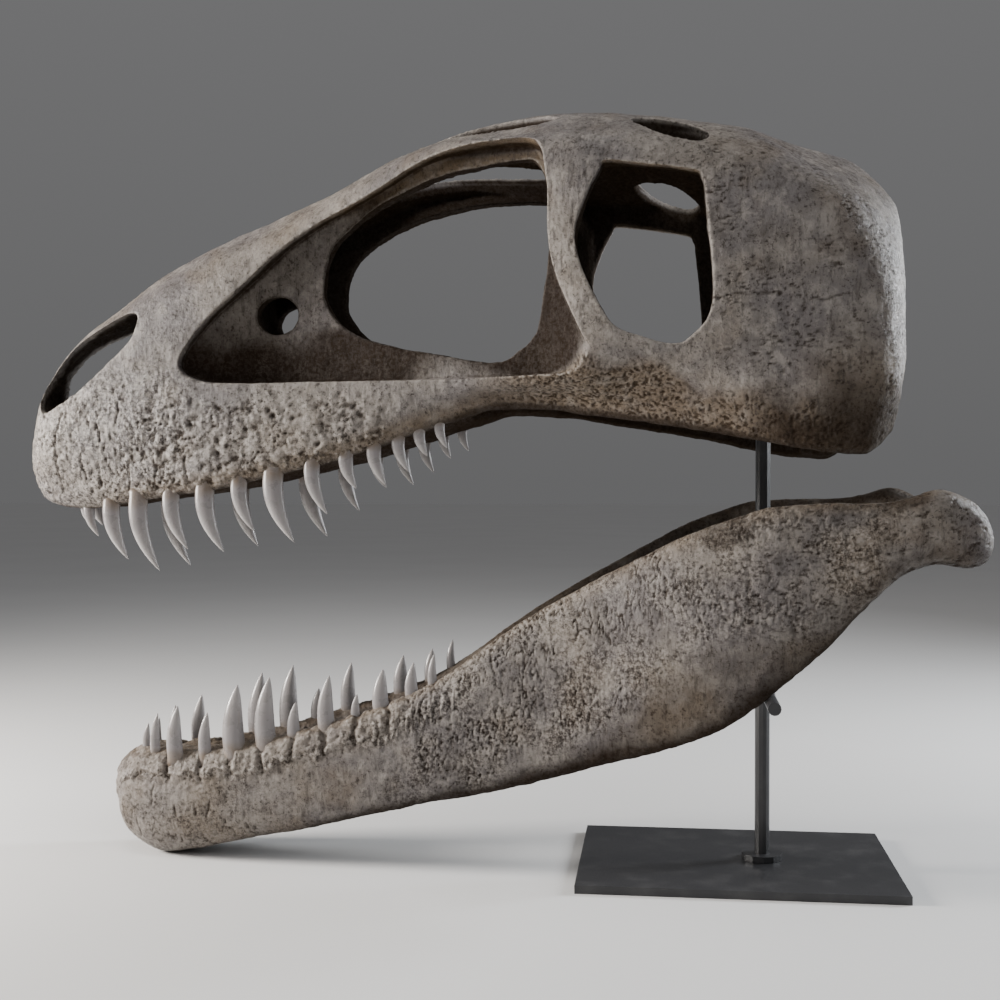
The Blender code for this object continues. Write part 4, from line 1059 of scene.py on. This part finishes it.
def boneMaterial(name, finish):
    n = Nodes(name)
    pits, worn, shade, stain, soil, gloss = (
        n.attribute(key) for key in ("pits", "worn", "shade", "stain", "soil", "gloss"))
    cloud = n.noise(6, 5, 0.6)
    blotch = n.noise(32, 9, 0.70)
    fine = n.noise(185, 7, 0.78)
    grain = n.noise(420, 4, 0.7)
    streak = n.noise(110, 7, 0.72, (1.0, 1.0, 0.25))
    colour = n.mix(n.span(cloud, 0.38, 0.62), finish["lilac"], finish["pale"])
    colour = n.mix(n.span(blotch, 0.52, 0.34, (0.0, 0.5)), colour, finish["worn"])
    # ochre tint from the stain layer: real stains, and painted shade under the roof's edges
    stainedAndShaded = n.math("MULTIPLY", stain, n.span(blotch, 0.30, 0.62, (0.55, 1.0)))
    colour = n.mix(stainedAndShaded, colour, finish["ochre"])
    colour = n.mix(n.span(blotch, 0.52, 0.68, (0.0, 0.50)), colour, finish["pepper"])
    colour = n.mix(n.span(streak, 0.52, 0.64, (0.0, 0.55)), colour, finish["pepper"])
    peppered = n.math("MULTIPLY", n.span(fine, 0.53, 0.61), n.span(blotch, 0.36, 0.60, (0.25, 0.95)))
    colour = n.mix(peppered, colour, finish["dirt"])
    bright = n.math("MULTIPLY", gloss, n.span(fine, 0.50, 0.41, (0.0, 0.85)))
    colour = n.mix(bright, colour, finish["worn"])
    patchy = n.math("MULTIPLY", gloss, n.span(blotch, 0.40, 0.56, (0.15, 1.0)))
    speck = n.math("MULTIPLY", patchy, n.span(fine, 0.50, 0.57, (0.0, 0.9)))
    colour = n.mix(speck, colour, finish["dirt"])
    light = n.math("MULTIPLY", n.span(worn, 0.56, 0.90), n.span(fine, 0.60, 0.45, (0.2, 0.75)))
    colour = n.mix(light, colour, finish["worn"])
    # sunken places (low worn values) and pits darkened towards dark brown as dirt and painted shade
    hollow = n.span(worn, 0.44, 0.16, (0.0, 0.8))
    grimeAndShade = n.math("MAXIMUM", n.math("MULTIPLY", pits, n.span(fine, 0.36, 0.60, (0.70, 1.0))), hollow)
    colour = n.mix(grimeAndShade, colour, finish["dirt"])
    # near-black from the soil layer: soil, and painted shade along lower borders and plate edges
    soiledAndShaded = n.math("MULTIPLY", soil, n.span(fine, 0.42, 0.56, (0.90, 1.0)))
    colour = n.mix(soiledAndShaded, colour, finish["mud"])
    # painted shade: darkens the colour towards near-black where the shade layer is high
    deep = n.math("MULTIPLY", shade, n.span(fine, 0.36, 0.62, (0.90, 1.0)))
    colour = n.mix(deep, colour, finish["dark"])
    n.give("Base Color", colour)
    rough = n.span(fine, 0.38, 0.62, (0.34, 0.62))
    rough = n.math("SUBTRACT", rough, n.math("MULTIPLY", gloss, 0.12))
    rough = n.math("ADD", rough, n.math("MULTIPLY", shade, 0.45))
    n.give("Roughness", rough)
    dull = n.math("MAXIMUM", n.math("MAXIMUM", shade, n.math("MULTIPLY", soil, 0.8)), grimeAndShade)
    n.give("Specular IOR Level", n.span(dull, 0.0, 0.9, (0.30, 0.03)))
    normal = n.bump(blotch, 0.50, 0.0040)
    normal = n.bump(fine, 0.70, 0.0018, normal)
    normal = n.bump(streak, 0.60, 0.0022, normal)
    normal = n.bump(grain, 0.50, 0.0004, normal)
    n.give("Normal", normal)
    return n.material


toothFinish = {
    "enamel": (0.215, 0.200, 0.200),
    "tip": (0.285, 0.268, 0.262),
    "neck": (0.15, 0.116, 0.088),
}


def toothMaterial(name, finish):
    n = Nodes(name)
    crown = n.attribute("crown")
    streak = n.noise(160, 5, 0.6, (1.0, 1.0, 0.12))
    cloud = n.noise(60, 4, 0.5)
    colour = n.mix(n.span(crown, 0.2, 0.9), finish["enamel"], finish["tip"])
    colour = n.mix(n.span(streak, 0.55, 0.80, (0.0, 0.35)), colour, finish["neck"])
    neck = n.math("MULTIPLY", n.span(crown, 0.0, 0.22, (1.0, 0.0)), n.span(cloud, 0.30, 0.65, (0.4, 1.0)))
    colour = n.mix(neck, colour, finish["neck"])
    n.give("Base Color", colour)
    n.give("Roughness", n.span(cloud, 0.3, 0.7, (0.22, 0.40)))
    normal = n.bump(streak, 0.15, 0.0012)
    n.give("Normal", normal)
    return n.material


steelFinish = {
    "coat": (0.022, 0.022, 0.024),
    "worn": (0.055, 0.054, 0.055),
    "edge": 0.0015,
}


def steelMaterial(name, finish):
    n = Nodes(name)
    cloud = n.noise(22, 5, 0.6)
    grain = n.noise(900, 2, 0.5)
    n.give("Base Color", n.mix(n.span(cloud, 0.45, 0.75, (0.0, 0.6)), finish["coat"], finish["worn"]))
    n.give("Roughness", n.span(grain, 0.3, 0.7, (0.30, 0.46)))
    n.give("Normal", n.bump(grain, 0.25, 0.0003))
    return n.material


def floorMaterial(name, colour):
    n = Nodes(name)
    cloud = n.noise(1.3, 3, 0.5)
    n.give("Base Color", n.mix(n.span(cloud, 0.3, 0.7), colour, tuple(0.97 * c for c in colour)))
    n.shader.inputs["Roughness"].default_value = 0.85
    return n.material


def dress(thing, material, node):
    thing.data.materials.clear()
    thing.data.materials.append(material)
    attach(thing, "root")
    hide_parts(node)


# put together

boneSkin = boneMaterial("weatheredBone", boneFinish)
toothSkin = toothMaterial("enamel", toothFinish)
steelSkin = steelMaterial("blackSteel", steelFinish)


def pieceName(node):
    first, *rest = node.split("_")
    return first + ("".join(word.title() for word in rest) or "Bone")


def nodeMap(names):
    # points over the outside of each solid, to tell which solid a place belongs to
    places, owners = [], []
    for owner, name in enumerate(names):
        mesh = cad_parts[name].data
        mesh.calc_loop_triangles()
        corners = np.array([t.vertices for t in mesh.loop_triangles])
        points = np.array([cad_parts[name].matrix_world @ v.co for v in mesh.vertices])
        for a, b, c in points[corners]:
            longest = max(np.linalg.norm(b - a), np.linalg.norm(c - a), np.linalg.norm(c - b))
            count = int(longest / 0.006) + 1
            u, v = np.meshgrid(np.arange(count + 1) / count, np.arange(count + 1) / count)
            u, v = u[u + v <= 1.0001], v[u + v <= 1.0001]
            places.append(a + u[:, None] * (b - a) + v[:, None] * (c - a))
            owners.append(np.full(len(u), owner))
    places, owners = np.concatenate(places), np.concatenate(owners)
    finder = KDTree(len(places))
    for n, place in enumerate(places):
        finder.insert(place, n)
    finder.balance()
    return finder, owners


def partBones(thing, names, material):
    # one piece for each bone; they share the whole skin's normals, so no seam shows
    finder, owners = nodeMap(names)
    mesh = thing.data
    points, normals = readMesh(mesh)
    corners = np.empty(len(mesh.loops), np.int32)
    mesh.loops.foreach_get("vertex_index", corners)
    corners = corners.reshape(-1, 4)
    layers = {}
    for layer in mesh.attributes:
        if layer.data_type == "FLOAT" and layer.domain == "POINT":
            layers[layer.name] = np.empty(len(points), np.float32)
            layer.data.foreach_get("value", layers[layer.name])
    label = owners[[finder.find(place)[1] for place in points[corners].mean(axis=1)]]
    for owner, node in enumerate(names):
        faces = corners[label == owner]
        used, local = np.unique(faces, return_inverse=True)
        name = pieceName(node)
        part = bpy.data.meshes.new(name)
        part.vertices.add(len(used))
        part.vertices.foreach_set("co", points[used].astype(np.float32).ravel())
        part.loops.add(faces.size)
        part.loops.foreach_set("vertex_index", local.astype(np.int32).ravel())
        part.polygons.add(len(faces))
        part.polygons.foreach_set("loop_start", np.arange(0, faces.size, 4, dtype=np.int32))
        part.update(calc_edges=True)
        part.shade_smooth()
        part.normals_split_custom_set_from_vertices(normals[used].astype(np.float32))
        paint(part, **{key: values[used] for key, values in layers.items()})
        dress(addObject(name, part), material, node)
        print(name, len(faces))
    discard(thing)


def copyOf(node):
    # a piece with the solid's own shape
    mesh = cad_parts[node].data.copy()
    mesh.transform(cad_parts[node].matrix_world)
    return addObject(pieceName(node), mesh)


def roundEdges(thing, width):
    bevel = thing.modifiers.new("edges", "BEVEL")
    bevel.width = width
    bevel.segments = 3
    bevel.limit_method = "ANGLE"
    bevel.angle_limit = math.radians(35)
    settle(thing)
    thing.data.shade_smooth()


strut = {
    "voxel": 0.0025,
    "eased": 14,
    "roughSize": 0.012,
    "roughHeight": 0.0012,
}


def roughStrut(node):
    thing = copyOf(node)
    remesh(thing, strut["voxel"], strut["eased"])
    points, normals = readMesh(thing.data)
    rough = fractal(points, strut["roughSize"], 201, 4)
    writeMesh(thing.data, points + normals * strut["roughHeight"] * rough[:, None])
    even = np.ones(len(points))
    # the struts sit inside the skull; an even painted shade darkens them
    paint(thing.data, pits=ramp(-rough, 0.2, 0.7), worn=0.5 * even, shade=0.45 * even,
          stain=0.3 * even, soil=ramp(rough, 0.1, 0.9), gloss=0 * even)
    thing.data.shade_smooth()
    return thing


bones = [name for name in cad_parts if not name.startswith(("stand_", "pterygoid"))]
lower = [name for name in bones if name.startswith(("dentary", "surangular", "angular", "articular"))]
upper = [name for name in bones if name not in lower]

skull = buildCranium()
carveCranium(skull)
partBones(skull, upper, boneSkin)

mandible = buildJaw()
carveJaw(mandible)
partBones(mandible, lower, boneSkin)

for row, node in buildTeeth():
    dress(row, toothSkin, node)

for node in ("pterygoid_left", "pterygoid_right"):
    dress(roughStrut(node), boneSkin, node)

for node in [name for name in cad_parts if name.startswith("stand_")]:
    steel = copyOf(node)
    roundEdges(steel, steelFinish["edge"])
    dress(steel, steelSkin, node)
print("stand set")


# floor, light and camera

studio = {
    "floor": (0.66, 0.655, 0.65),
    "horizon": (0.335, 0.335, 0.34),
    "zenith": (0.56, 0.56, 0.57),
    "worldStrength": 0.40,
    # place, aim, width, height, watts, colour
    "lights": {
        "key": ((-2.5, -0.30, 0.90), (-0.1, 0.0, 0.50), 0.7, 0.7, 165, (1.0, 0.955, 0.90)),
        "top": ((-0.4, -0.5, 3.0), (0.1, 0.0, 0.7), 1.2, 1.2, 34, (1.0, 0.98, 0.95)),
        "rim": ((2.6, 1.0, 1.3), (0.55, 0.0, 0.75), 0.6, 1.0, 110, (0.92, 0.96, 1.0)),
        "fill": ((1.3, -3.0, 2.6), (0.2, 0.0, 0.5), 2.2, 1.6, 31, (1.0, 1.0, 1.0)),
    },
    "cameraPlace": (0.277, -2.1, 0.5793),
    "cameraTurn": (90 - 0.866, 0.0, 6.69),
    "lens": 50.0,
}


def setStudio(s):
    mesh = bpy.data.meshes.new("floor")
    mesh.from_pydata([(-30, -30, 0), (30, -30, 0), (30, 30, 0), (-30, 30, 0)], [], [(0, 1, 2, 3)])
    floor = addObject("floor", mesh)
    mesh.materials.append(floorMaterial("paleFloor", s["floor"]))
    world = bpy.data.worlds.new("studio")
    bpy.context.scene.world = world
    world.use_nodes = True
    tree = world.node_tree
    sky = tree.nodes["Background"]
    sky.inputs["Strength"].default_value = s["worldStrength"]
    up = tree.nodes.new("ShaderNodeSeparateXYZ")
    blend = tree.nodes.new("ShaderNodeMix")
    blend.data_type = "RGBA"
    blend.inputs[6].default_value = (*s["horizon"], 1)
    blend.inputs[7].default_value = (*s["zenith"], 1)
    tree.links.new(tree.nodes.new("ShaderNodeTexCoord").outputs["Generated"], up.inputs[0])
    tree.links.new(up.outputs["Z"], blend.inputs[0])
    tree.links.new(blend.outputs[2], sky.inputs["Color"])
    for name, (place, aim, width, height, power, colour) in s["lights"].items():
        light = bpy.data.lights.new(name, "AREA")
        light.shape = "RECTANGLE"
        light.size = width
        light.size_y = height
        light.energy = power
        light.color = colour
        lamp = addObject(name, light)
        lamp.location = place
        lamp.rotation_euler = (Vector(aim) - Vector(place)).to_track_quat("-Z", "Y").to_euler()
    lens = bpy.data.cameras.new("camera")
    lens.lens = s["lens"]
    lens.sensor_width = 36.0
    camera = addObject("camera", lens)
    camera.location = s["cameraPlace"]
    camera.rotation_euler = tuple(math.radians(a) for a in s["cameraTurn"])
    bpy.context.scene.camera = camera
    print("studio set")


setStudio(studio)
